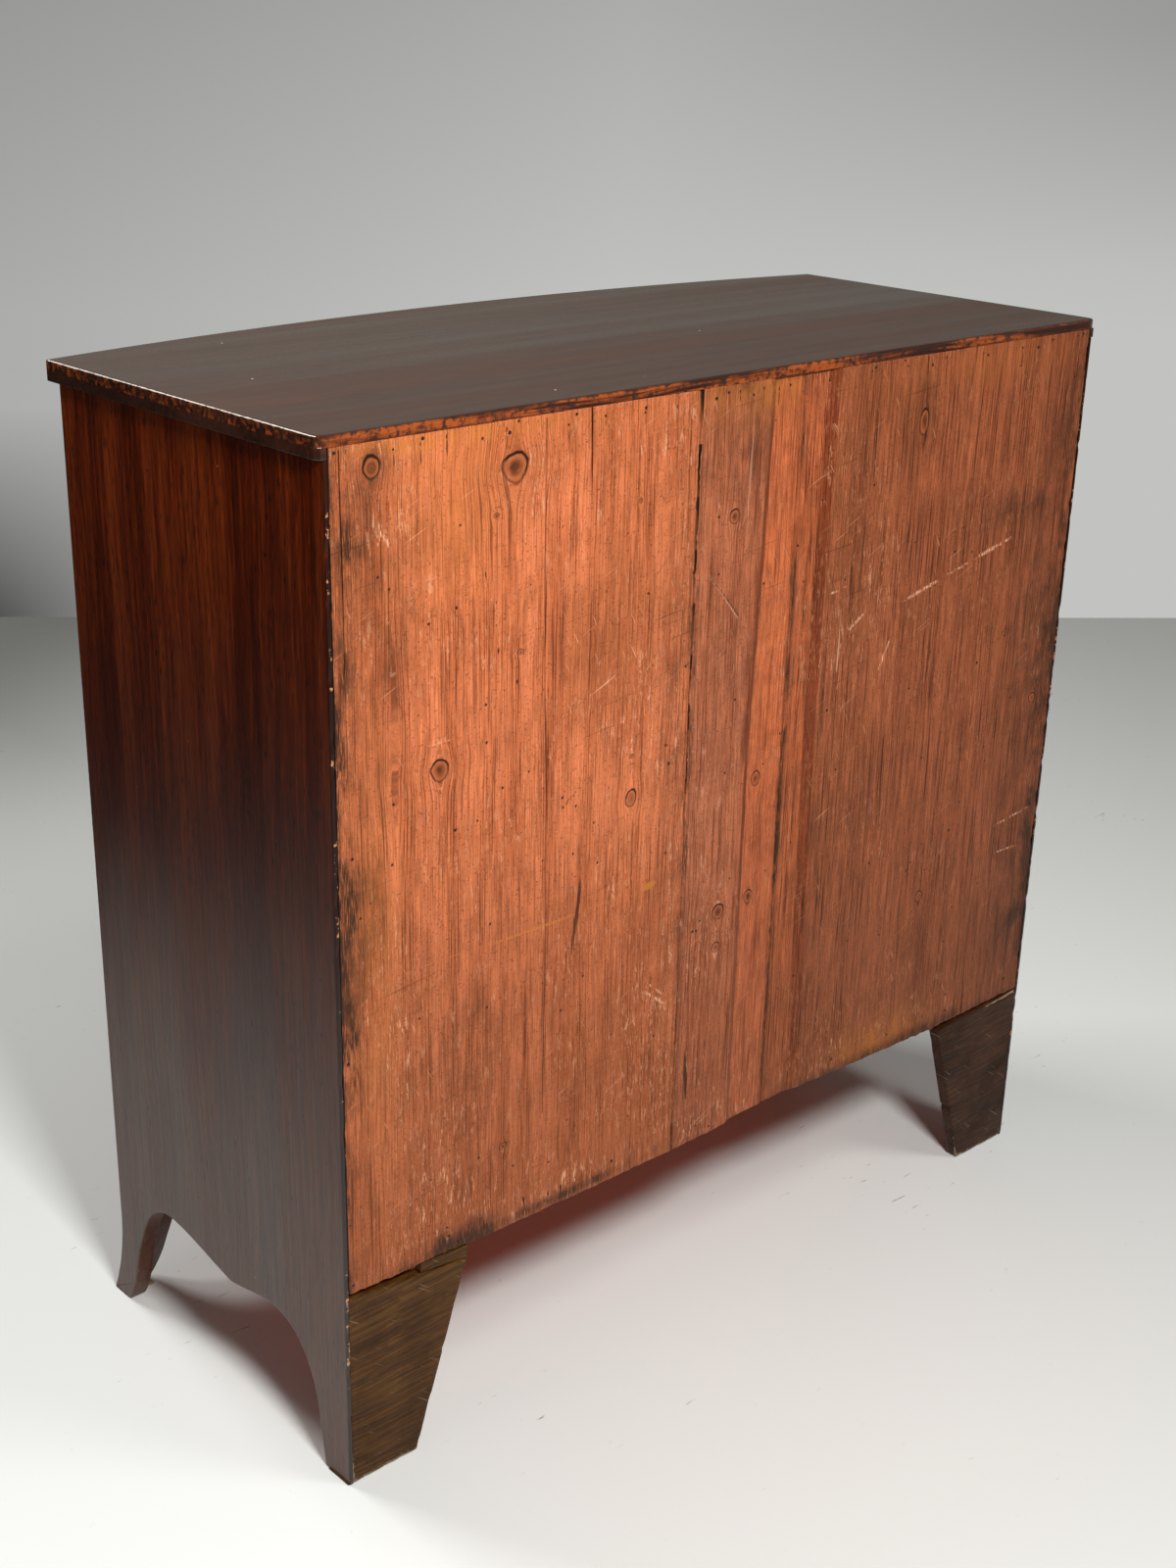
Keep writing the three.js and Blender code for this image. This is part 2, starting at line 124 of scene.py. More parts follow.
def wire(tree: Tree, kind: tuple | str, inputs: dict, out: int | str | None = None, **settings) -> Socket:
    """Adds a node, sets its properties and fills its inputs with values or links.

    Args:
        tree: the node tree.
        kind: the node's type, or one of the types above.
        inputs: values or sockets for its inputs, by name or number.
        out: the output to return, where it isn't the usual one.
        **settings: the node's properties.

    Returns:
        One output of the new node, or None where it has none.
    """
    name, usual, preset = (kind, 0, {}) if isinstance(kind, str) else kind
    node = tree.nodes.new(name)
    for key, value in {**preset, **settings}.items():
        setattr(node, key, value)
    for key, value in inputs.items():
        if isinstance(value, Socket):
            tree.links.new(value, node.inputs[key])
        else:
            node.inputs[key].default_value = value
    return node.outputs[usual if out is None else out] if len(node.outputs) else None


def rough(u: np.ndarray, v: np.ndarray, seed: int) -> np.ndarray:
    """Smooth noise from -1 to 1 over a plane, with one feature per unit.

    Args:
        u: first coordinate of the points.
        v: second coordinate of the points.
        seed: picks the pattern.

    Returns:
        The noise at each point.
    """
    table = np.random.default_rng(seed).uniform(-1, 1, (64, 64))
    i, j = np.floor(u).astype(int), np.floor(v).astype(int)
    a, b = u - i, v - j
    a, b = a * a * (3 - 2 * a), b * b * (3 - 2 * b)
    near = table[i % 64, j % 64] * (1 - a) + table[(i + 1) % 64, j % 64] * a
    far = table[i % 64, (j + 1) % 64] * (1 - a) + table[(i + 1) % 64, (j + 1) % 64] * a
    return near * (1 - b) + far * b


def distance_to(path: Line, u: np.ndarray, v: np.ndarray) -> tuple[np.ndarray, np.ndarray]:
    """Distance from points to an open line, and how far along the line the nearest place is.

    Args:
        path: the line's corners.
        u: first coordinate of the points.
        v: second coordinate of the points.

    Returns:
        The distances, and the shares of the line from 0 to 1.
    """
    corners = np.asarray(path, float)
    spans = np.diff(corners, axis=0)
    lengths = np.linalg.norm(spans, axis=1)
    starts = np.concatenate([[0], np.cumsum(lengths)])
    best, share = np.full(u.shape, 1e9), np.zeros(u.shape)
    for corner, span, length, start in zip(corners, spans, lengths, starts):
        t = np.clip(((u - corner[0]) * span[0] + (v - corner[1]) * span[1]) / length**2, 0, 1)
        away = np.hypot(u - corner[0] - t * span[0], v - corner[1] - t * span[1])
        closer = away < best
        best[closer] = away[closer]
        share[closer] = ((start + t * length) / starts[-1])[closer]
    return best, share


def dense(line: Line, pitch: float) -> np.ndarray:
    """Splits the straight runs of a closed line into steps no longer than a pitch.

    Args:
        line: the corners.
        pitch: longest step.

    Returns:
        The points of the line.
    """
    found = []
    corners = np.asarray(line, float)
    for a, b in zip(corners, np.roll(corners, -1, 0)):
        count = max(1, math.ceil(np.linalg.norm(b - a) / pitch))
        found += [a + (b - a) * i / count for i in range(count)]
    return np.array(found)


def curve(start: tuple[float, float], end: tuple[float, float], shares: Sequence, steps: int = 24) -> list:
    """Points of a Bezier curve whose controls are given as shares of its run and rise.

    Args:
        start: first point, which is left out of the result.
        end: last point.
        shares: one or two controls.
        steps: number of points.

    Returns:
        The points after the first.
    """
    a, b = np.asarray(start, float), np.asarray(end, float)
    nodes = [a, *[a + (b - a) * share for share in shares], b]
    order = len(nodes) - 1
    return [tuple(sum(math.comb(order, k) * (1 - t) ** (order - k) * t**k * p for k, p in enumerate(nodes)))
            for t in (i / steps for i in range(1, steps + 1))]


def offset(line: np.ndarray, distance: float) -> np.ndarray:
    """Moves a closed line that runs counter-clockwise inwards.

    Args:
        line: its points.
        distance: how far in.

    Returns:
        The moved points.
    """
    ahead = np.roll(line, -1, 0) - line
    ahead /= np.linalg.norm(ahead, axis=1, keepdims=True)
    behind = np.roll(ahead, 1, 0)
    both = ahead + behind
    inward = np.stack([-both[:, 1], both[:, 0]], 1)
    return line + inward / np.maximum(1 + (ahead * behind).sum(1), 0.4)[:, None] * distance


def worn_away(line: np.ndarray, depth: np.ndarray) -> np.ndarray:
    """Moves each point of a closed line inwards by a depth of its own."""
    return line + (offset(line, 1.0) - line) * depth[:, None]


def oblong(low: float, near: float, high: float, far: float) -> list[tuple[float, float]]:
    """Corners of an oblong, counter-clockwise, from its lowest and highest ones."""
    return [(low, near), (high, near), (high, far), (low, far)]


def lying(x: np.ndarray, reach: np.ndarray, z: np.ndarray) -> np.ndarray:
    """Lays an outline flat."""
    return np.stack([x, reach, z], 1)


def standing(x: np.ndarray, z: np.ndarray, reach: np.ndarray) -> np.ndarray:
    """Stands an outline up, facing the rear."""
    return np.stack([x, reach, z], 1)


def heights_of(node: str) -> tuple[float, float]:
    """Lowest and highest point of a CAD node."""
    return tuple(corner[2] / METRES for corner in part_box(node))


def within(points: np.ndarray, line: np.ndarray, margin: float) -> np.ndarray:
    """Says which points lie inside a closed line and away from its corners.

    Args:
        points: the points to test.
        line: the closed line.
        margin: least distance from the line's own points.

    Returns:
        One truth value for each point.
    """
    inside = np.zeros(len(points), bool)
    for a, b in zip(line, np.roll(line, -1, 0)):
        crosses = (a[1] > points[:, 1]) != (b[1] > points[:, 1])
        if crosses.any():
            at = a[0] + (points[:, 1] - a[1]) * (b[0] - a[0]) / ((b[1] - a[1]) or 1e-9)
            inside ^= crosses & (points[:, 0] < at)
    clear = np.full(len(points), 1e9)
    for a in line:
        clear = np.minimum(clear, np.hypot(*(points - a).T))
    return inside & (clear > margin)


def bands(rows: int, columns: int, closed: bool) -> list[list[int]]:
    """Faces between rows of points.

    Args:
        rows: number of rows.
        columns: points in a row.
        closed: whether each row is a ring.

    Returns:
        The faces, as lists of point numbers.
    """
    i, j = np.meshgrid(np.arange(rows - 1), np.arange(columns if closed else columns - 1), indexing="ij")
    near, k = i * columns, (j + 1) % columns
    far = near + columns
    return np.stack([near + j, near + k, far + k, far + j], -1).reshape(-1, 4).tolist()


class Shell:
    """Collects the points, faces and point values of one piece."""

    def __init__(self) -> None:
        """Starts empty."""
        self.points: list[np.ndarray] = []
        self.faces: list[list[int]] = []
        self.marks: dict[str, list[tuple[int, np.ndarray]]] = {}
        self.count = 0

    def add(self, points: np.ndarray, faces: list[list[int]], **marks) -> None:
        """Adds points with their faces.

        Args:
            points: x, reach and height of each point.
            faces: point numbers, counted from this batch's first point.
            **marks: values at the points, by name.
        """
        points = np.asarray(points, float)
        self.faces += [[self.count + i for i in face] for face in faces]
        for key, values in marks.items():
            self.marks.setdefault(key, []).append((self.count, np.broadcast_to(values, len(points))))
        self.points.append(points)
        self.count += len(points)

    def tell(self, **marks) -> None:
        """Sets values at the points from the first one on, by name."""
        self.marks.update({key: [(0, values)] for key, values in marks.items()})

    def piece(self, name: str, body: str, slot: str, material: Material,
              replaces: Sequence[str] = (), angle: float = 35.0) -> Piece:
        """Makes the piece.

        Args:
            name: its name.
            body: the CAD body it rides on.
            slot: the record's material slot.
            material: its finish.
            replaces: CAD nodes that it stands for.
            angle: edges sharper than this stay sharp, in degrees.

        Returns:
            The new object.
        """
        place = np.concatenate(self.points) * (1, -1, 1) + (0, REAR_Y, 0)
        mesh = bpy.data.meshes.new(name)
        mesh.from_pydata((place * METRES).tolist(), [], self.faces)
        work = bmesh.new()
        work.from_mesh(mesh)
        bmesh.ops.recalc_face_normals(work, faces=work.faces)
        work.to_mesh(mesh)
        work.free()
        for key, batches in self.marks.items():
            values = np.zeros(self.count)
            for start, batch in batches:
                values[start:start + len(batch)] = batch
            mesh.attributes.new(key, "FLOAT", "POINT").data.foreach_set("value", values.astype(np.float32))
        mesh.shade_smooth()
        mesh.set_sharp_from_angle(angle=math.radians(angle))
        return settle(bpy.data.objects.new(name, mesh), body, slot, material, replaces)


def settle(piece: Piece, body: str, slot: str, material: Material, replaces: Sequence[str] = ()) -> Piece:
    """Puts a finished piece on its body and gives it its finish.

    Args:
        piece: the object.
        body: the CAD body it rides on.
        slot: the record's material slot; not used.
        material: its finish.
        replaces: CAD nodes that it stands for.

    Returns:
        The same object.
    """
    if piece.name not in bpy.context.scene.collection.objects:
        bpy.context.scene.collection.objects.link(piece)
    piece.data.materials.clear()
    piece.data.materials.append(material)
    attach(piece, body)
    if replaces:
        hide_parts(*replaces)
    log.info("%s on %s: %d faces", piece.name, body, len(piece.data.polygons))
    return piece


def grown(name: str, points: np.ndarray, edges: Sequence, tree: Tree, values: dict) -> Piece:
    """Grows a piece on points or lines with a Geometry Nodes tree, and keeps the result as a plain mesh.

    Args:
        name: the piece's name.
        points: x, reach and height of the starting points.
        edges: pairs of point numbers.
        tree: the tree.
        values: its inputs, by name.

    Returns:
        The new object, not yet on a body.
    """
    place = np.asarray(points, float) * (1, -1, 1) + (0, REAR_Y, 0)
    seedling = bpy.data.objects.new(name + "_points", bpy.data.meshes.new(name))
    seedling.data.from_pydata((place * METRES).tolist(), edges, [])
    bpy.context.scene.collection.objects.link(seedling)
    modifier = seedling.modifiers.new("grow", "NODES")
    modifier.node_group = tree
    for item in tree.interface.items_tree:
        if item.item_type == "SOCKET" and item.in_out == "INPUT" and item.name in values:
            modifier[item.identifier] = values[item.name]
    graph = bpy.context.evaluated_depsgraph_get()
    mesh = bpy.data.meshes.new_from_object(seedling.evaluated_get(graph))
    seedling.modifiers.remove(modifier)
    bpy.data.objects.remove(seedling)
    mesh.name = name
    return bpy.data.objects.new(name, mesh)


def new_tree(name: str, inputs: dict[str, tuple[str, object]]) -> tuple[Tree, Sequence[Socket]]:
    """Starts a Geometry Nodes tree with named inputs.

    Args:
        name: the tree's name.
        inputs: socket type and value of each input, by name.

    Returns:
        The tree and the sockets of its inputs.
    """
    tree = bpy.data.node_groups.new(name, "GeometryNodeTree")
    tree.interface.new_socket("Geometry", in_out="INPUT", socket_type="NodeSocketGeometry")
    for key, (kind, value) in inputs.items():
        socket = tree.interface.new_socket(key, in_out="INPUT", socket_type="NodeSocket" + kind)
        if value is not None:
            socket.default_value = value
    tree.interface.new_socket("Geometry", in_out="OUTPUT", socket_type="NodeSocketGeometry")
    return tree, tree.nodes.new("NodeGroupInput").outputs


def studs_tree() -> Tree:
    """Low cones on points, turned one way and a little uneven: nail heads, nuts and pegs."""
    tree, socket = new_tree("Studs", {
        "Sides": ("Int", 10), "Radius": ("Float", 0.003), "Top": ("Float", 0.7), "Height": ("Float", 0.001),
        "Turn": ("Rotation", None), "Uneven": ("Float", 0.2), "Seed": ("Int", 1), "Finish": ("Material", None)})
    add = partial(wire, tree)
    top = add(TIMES, {0: socket["Radius"], 1: socket["Top"]})
    head = add("GeometryNodeMeshCone", {
        "Vertices": socket["Sides"], "Side Segments": 1, "Radius Top": top, "Radius Bottom": socket["Radius"],
        "Depth": socket["Height"]})
    least = add(LESS, {0: 1.0, 1: socket["Uneven"]})
    size = add("FunctionNodeRandomValue", {2: least, 3: 1.0, 8: socket["Seed"]}, 1, data_type="FLOAT")
    tilt = add("FunctionNodeRandomValue", {2: 0.0, 3: 6.28, 8: socket["Seed"]}, 1, data_type="FLOAT")
    spin = add("FunctionNodeAxisAngleToRotation", {"Axis": (0, 0, 1), "Angle": tilt})
    turn = add("FunctionNodeRotateRotation", {0: socket["Turn"], 1: spin}, rotation_space="LOCAL")
    placed = add("GeometryNodeInstanceOnPoints", {
        "Points": socket["Geometry"], "Instance": head, "Rotation": turn, "Scale": size})
    real = add("GeometryNodeRealizeInstances", {0: placed})
    done = add("GeometryNodeSetMaterial", {"Geometry": real, "Material": socket["Finish"]})
    add("NodeGroupOutput", {0: done})
    return tree


def bead_tree() -> Tree:
    """A round rod along lines, thicker towards the middle: cockbeads and bails."""
    tree, socket = new_tree("Bead", {
        "Radius": ("Float", 0.0012), "Sides": ("Int", 8), "Swell": ("Float", 0.0), "Finish": ("Material", None)})
    add = partial(wire, tree)
    path = add("GeometryNodeMeshToCurve", {0: socket["Geometry"]})
    share = add("GeometryNodeSplineParameter", {})
    wave = add(MATH, {0: add(TIMES, {0: share, 1: math.pi})}, operation="SINE")
    more = add(TIMES_PLUS, {0: add(MATH, {0: wave, 1: 4.0}, operation="POWER"), 1: socket["Swell"], 2: 1.0})
    round_line = add("GeometryNodeCurvePrimitiveCircle", {"Resolution": socket["Sides"], "Radius": socket["Radius"]})
    rod = add("GeometryNodeCurveToMesh", {"Curve": path, "Profile Curve": round_line, "Scale": more, "Fill Caps": True})
    real = add("GeometryNodeRealizeInstances", {0: rod})
    smooth = add("GeometryNodeSetShadeSmooth", {0: real, "Shade Smooth": True})
    done = add("GeometryNodeSetMaterial", {"Geometry": smooth, "Material": socket["Finish"]})
    add("NodeGroupOutput", {0: done})
    return tree


# Inset and drop as shares of the arris radius, and how worn each ring is
ARRIS_STEPS = ((2.6, 0.0, 0.0), (1.0, 0.0, 0.6), (0.3, 0.3, 1.0), (0.0, 1.0, 0.8), (0.0, 2.6, 0.0))


def plate(shell: Shell, line: np.ndarray, low: float, high: float, place: Callable,
          rounding: tuple[float, float] = (1.0, 1.0), pitch: float = 0.0, **marks) -> None:
    """Adds a plate of any outline with rounded arrises.

    Args:
        shell: where it goes.
        line: the outline, counter-clockwise.
        low: the plate's first face, along the third coordinate.
        high: its second face.
        place: turns the two outline coordinates and the third one into x, reach and height.
        rounding: radius of the arris at each face, 0 for a sharp one.
        pitch: spacing of points inside the faces, 0 for flat ones.
        **marks: values for all the plate's points.
    """
    rings = []
    for end, radius, side in ((low, rounding[0], 1), (high, rounding[1], -1)):
        steps = ARRIS_STEPS if radius else ((0.0, 0.0, 0.0),)
        for inset, drop, worn in (steps if side == 1 else steps[::-1]):
            rings.append((offset(line, inset * radius), end + side * drop * radius, worn))
    count = len(line)
    flat = np.concatenate([ring for ring, _, _ in rings])
    third = np.repeat([w for _, w, _ in rings], count)
    worn = np.repeat([mark for _, _, mark in rings], count)
    faces = bands(len(rings), count, True)
    for ring, start, end in ((rings[0][0], 0, low), (rings[-1][0], (len(rings) - 1) * count, high)):
        if not pitch:
            faces.append(list(range(start, start + count)))
            continue
        corners = np.arange(ring[:, 0].min() + pitch / 2, ring[:, 0].max(), pitch)
        heights = np.arange(ring[:, 1].min() + pitch / 2, ring[:, 1].max(), pitch)
        inner = np.stack(np.meshgrid(corners, heights), -1).reshape(-1, 2)
        inner = inner[within(inner, ring, pitch * 0.45)]
        found = delaunay_2d_cdt([Vector(p) for p in np.vstack([ring, inner])], [], [list(range(count))], 1, 1e-5)
        number = [origin[0] for origin in found[3]]
        shift = len(flat) - count
        faces += [[start + number[i] if number[i] < count else shift + number[i] for i in face] for face in found[2]]
        flat = np.vstack([flat, inner])
        third = np.concatenate([third, np.full(len(inner), end)])
        worn = np.concatenate([worn, np.zeros(len(inner))])
    shell.add(place(flat[:, 0], flat[:, 1], third), faces, **{"arris": worn, **marks})


@dataclass(frozen=True)
class Bow:
    """The bowed line of the front and the splay of its feet."""

    half: float = 523.0
    end: float = 420.0
    rise: float = 54.0
    flare: float = 25.0
    flare_height: float = 110.0

    @property
    def radius(self) -> float:
        """Radius of the bow."""
        return (self.half**2 + self.rise**2) / (2 * self.rise)

    def reach(self, x: np.ndarray, inset: float = 0.0) -> np.ndarray:
        """Reach of the bowed face at x, for a face set in by some distance."""
        return self.end + self.rise - self.radius + np.sqrt((self.radius - inset) ** 2 - np.square(x))

    def splay(self, z: np.ndarray) -> np.ndarray:
        """How far the feet stand out at a height."""
        return self.flare * np.square(np.clip(1 - np.asarray(z, float) / self.flare_height, 0, 1))

    def angle(self, x: float) -> float:
        """Turn of the front's face at x, in radians."""
        return math.asin(x / self.radius)

    def front_line(self, low: float, high: float, steps: int = 64) -> list[tuple[float, float]]:
        """Points of the bow from high x to low x."""
        return [(x, float(self.reach(x))) for x in np.linspace(high, low, steps)]


BOW = Bow()


class Surface:
    """A material under construction, with its coordinates at hand."""

    def __init__(self, name: str) -> None:
        """Starts a material with one shader.

        Args:
            name: the material's name.
        """
        self.material = bpy.data.materials.new(name)
        self.material.use_nodes = True
        self.tree = self.material.node_tree
        self.shader = self.tree.nodes["Principled BSDF"]
        self.add = partial(wire, self.tree)
        self.place = self.add(COORDINATES, {})

    def fibres(self, colour: Socket, pattern: Socket, least: float, most: float) -> Socket:
        """Lightens and darkens a colour by a fine pattern.

        Args:
            colour: the colour.
            pattern: noise around a half.
            least: factor in its hollows.
            most: factor on its crests.

        Returns:
            The new colour.
        """
        share = self.add(RANGE, {0: pattern, 1: 0.3, 2: 0.7, 3: least, 4: most})
        return self.add(SCALED, {0: colour, 3: share})

    def mark(self, name: str) -> Socket:
        """Reads a value that the mesh holds at its points."""
        return self.add(MARK, {}, attribute_name=name)

    def finish(self, base, roughness, height=None, depth: float = 0.0004, strength: float = 0.6, **fixed) -> Material:
        """Plugs the colour, roughness and relief in.

        Args:
            base: colour, or its socket.
            roughness: value, or its socket.
            height: socket of the relief, if there is one.
            depth: the relief's depth in metres.
            strength: the relief's strength.
            **fixed: values for the shader's own sockets, with _ for a space.

        Returns:
            The finished material.
        """
        given = {"Base Color": base, "Roughness": roughness}
        if height is not None:
            given["Normal"] = self.add("ShaderNodeBump", {"Height": height, "Distance": depth, "Strength": strength})
        given.update({key.replace("_", " "): value for key, value in fixed.items()})
        for key, value in given.items():
            if isinstance(value, Socket):
                self.tree.links.new(value, self.shader.inputs[key])
            else:
                self.shader.inputs[key].default_value = value
        return self.material


@dataclass(frozen=True)
class Mahogany:
    """Old mahogany, French polished: deep red-brown streaks under a soft gloss, with open dark pores.

    The eye sees broad light and dark stripes along the grain, short dark pore dashes, pale wood where the arrises are
    rubbed, and a greyer, duller skin where the polish has perished. That skin is partly a painted reflection of the
    pale floor, painted shade darkens the lower part, and on the top's side arrises the pale wood is partly a painted
    highlight.
    """

    name: str
    grain: Grain = Grain.UPRIGHT
    dark: int = 0x2A0E05
    middle: int = 0x4A1C0A
    light: int = 0x6B3014
    bare: int = 0xB98258
    gloss: float = 0.26
    dull: float = 0.42
    coat: float = 0.2
    pores: float = 0.8
    figure: float = 0.0
    haze: float = 0.0
    haze_and_reflection_colour: int = 0x4E3A2C
    haze_heights: tuple[float, float] = (0.7, 0.3)
    bands: float = 22.0
    painted_shade_below: float = 0.0
    fibre: float = 0.25
    sheen: tuple[float, float] = (0.5, 0.5)
    shift: float = 0.0

    def wood(self, s: Surface) -> tuple[Socket, Socket, Socket]:
        """Draws the bare wood's colour.

        Args:
            s: the surface.

        Returns:
            Its colour, its broad stripes and its streaks.
        """
        bent = s.add(NOISE, {"Vector": s.place, "Scale": 5.0, "Detail": 2.0}, "Color")
        wander = s.add(VECTOR, {0: bent, 1: (0.012 + 0.2 * self.figure,) * 3}, operation="MULTIPLY")
        swayed = s.add(VECTOR, {0: s.place, 1: wander}, operation="ADD")
        along = s.add(PLACE, {"Vector": swayed, "Scale": self.grain.value, "Location": (self.shift,) * 3})
        # Stripes about 45 mm wide, streaks of 6 mm and fibres of 1.2 mm
        stripe = s.add(NOISE, {"Vector": along, "Scale": self.bands, "Detail": 3.0, "Roughness": 0.55})
        streak = s.add(NOISE, {"Vector": along, "Scale": 170.0, "Detail": 3.0, "Roughness": 0.6})
        fibre = s.add(NOISE, {"Vector": along, "Scale": 850.0, "Detail": 2.0, "Roughness": 0.7})
        tone = s.add(MIX, {0: 0.42, 2: stripe, 3: streak})
        tone = s.add(MIX, {0: 0.25, 2: tone, 3: fibre})
        low = s.add(RANGE, {0: tone, 1: 0.38, 2: 0.51})
        high = s.add(RANGE, {0: tone, 1: 0.49, 2: 0.62})
        colour = s.add(LAY, {0: low, 6: linear(self.dark), 7: linear(self.middle)})
        return s.add(LAY, {0: high, 6: colour, 7: linear(self.light)}), stripe, streak

    def pore(self, s: Surface, crowd: Socket) -> Socket:
        """Draws open pores as dark dashes, a little larger than life so that they show."""
        dash = s.add(PLACE, {"Vector": s.place, "Scale": [1 if v == 1 else 0.06 for v in self.grain.value]})
        found = s.add(NOISE, {"Vector": dash, "Scale": 1000.0, "Detail": 0.0})
        least = s.add(RANGE, {0: crowd, 1: 0.3, 2: 0.7, 3: 0.71, 4: 0.59})
        edge = s.add(LESS, {0: found, 1: least})
        found = s.add(TIMES, {0: edge, 1: 14.0}, use_clamp=True)
        return s.add(TIMES, {0: found, 1: self.pores})

    def material(self) -> Material:
        """Builds the finish."""
        s = Surface(self.name)
        colour, stripe, streak = self.wood(s)
        crowd = s.add(NOISE, {"Vector": s.place, "Scale": 13.0, "Detail": 2.0})
        deep = self.pore(s, crowd)
        # Painted shade: the colour darkens towards the floor. Then a greyer skin grows towards the floor, partly
        # perished polish, partly a painted reflection of the pale floor
        rise = s.add(SPLIT, {0: s.place})
        cloud = s.add(
            NOISE, {"Vector": s.add(PLACE, {"Vector": s.place, "Scale": (1, 1, 0.4)}), "Scale": 7.0, "Detail": 4.0})
        painted_shade_mask = s.add(RANGE, {0: s.add(TIMES_PLUS, {0: cloud, 1: 0.2, 2: rise}), 1: 1.08, 2: 0.75, 4: self.painted_shade_below})
        colour = s.add(LAY, {0: painted_shade_mask, 6: colour, 7: linear(self.dark)})
        height = s.add(TIMES_PLUS, {0: cloud, 1: 0.35, 2: rise})
        gone = s.add(
            RANGE, {0: height, 1: self.haze_heights[0] + 0.17, 2: self.haze_heights[1] + 0.17, 3: 0.0, 4: self.haze})
        # The grey skin is partly perished polish, partly a painted reflection of the pale floor
        haze_and_reflection_skin = s.add(TIMES, {0: gone, 1: s.add(RANGE, {0: streak, 1: 0.38, 2: 0.62, 3: 0.35, 4: 1.35})})
        colour = s.add(LAY, {0: haze_and_reflection_skin, 6: colour, 7: linear(self.haze_and_reflection_colour)})
        thread = s.add(PLACE, {"Vector": s.place, "Scale": self.grain.value, "Location": (3.0, 1.0, 2.0)})
        thread = s.add(NOISE, {"Vector": thread, "Scale": 420.0, "Detail": 4.0, "Roughness": 0.75})
        colour = s.fibres(colour, thread, 1 - self.fibre, 1 + self.fibre)
        colour = s.add(LAY, {0: deep, 6: colour, 7: linear(0x0E0503)})
        # Wormholes and specks of paint, one to each 40 mm or so
        cell = s.add(CELLS, {"Vector": s.place, "Scale": 26.0})
        colour = s.add(LAY, {0: s.add(RANGE, {0: cell, 1: 0.045, 2: 0.03}), 6: colour, 7: linear(0x0A0403)})
        cell = s.add(CELLS, {"Vector": s.place, "Scale": 17.0})
        speck = s.add(RANGE, {0: cell, 1: 0.024, 2: 0.012})
        # Rubbed arrises, in bits a few millimetres long; on the top's side arrises the near-white is partly a painted
        # highlight
        nick = s.add(NOISE, {"Vector": s.place, "Scale": 150.0, "Detail": 3.0, "Roughness": 0.7})
        rubbed = s.add(RANGE, {0: s.add(TIMES, {0: s.mark("arris"), 1: nick}), 1: 0.52, 2: 0.6})
        chipped = s.add(RANGE, {0: s.add(TIMES, {0: s.mark("chip"), 1: nick}), 1: 0.4, 2: 0.46})
        bare = s.add(LARGER, {0: rubbed, 1: chipped})
        sooty = s.add(TIMES, {0: s.mark("soot"), 1: 0.85})
        colour = s.add(LAY, {0: sooty, 6: colour, 7: linear(0x160A06)})
        paint = s.add(LAY, {0: s.add(RANGE, {0: streak, 1: 0.42, 2: 0.58}), 6: linear(0x2C0C04), 7: linear(0x964618)})
        smear = s.add(RANGE, {0: s.add(TIMES, {0: s.mark("paint"), 1: nick}), 1: 0.55, 2: 0.8})
        colour = s.add(LAY, {0: smear, 6: colour, 7: paint})
        bare = s.add(LARGER, {0: bare, 1: speck})
        colour = s.add(LAY, {0: bare, 6: colour, 7: linear(self.bare)})
        worn = s.add(LARGER, {0: bare, 1: s.add(RANGE, {0: stripe, 1: 0.4, 2: 0.62})})
        gloss = s.add(RANGE, {0: worn, 3: self.gloss, 4: self.dull})
        gloss = s.add(MIX, {0: gone, 2: gloss, 3: self.dull + 0.08})
        relief = s.add(TIMES_PLUS, {0: deep, 1: -1.0, 2: s.add(TIMES, {0: streak, 1: 0.5})})
        share = self.sheen[0]
        if share != self.sheen[1]:
            share = s.add(RANGE, {0: gone, 2: max(self.haze, 0.01), 3: share, 4: self.sheen[1]})
        return s.finish(
            colour, gloss, relief, 0.0003, 0.3, Coat_Weight=self.coat, Coat_Roughness=0.2, Specular_IOR_Level=share)


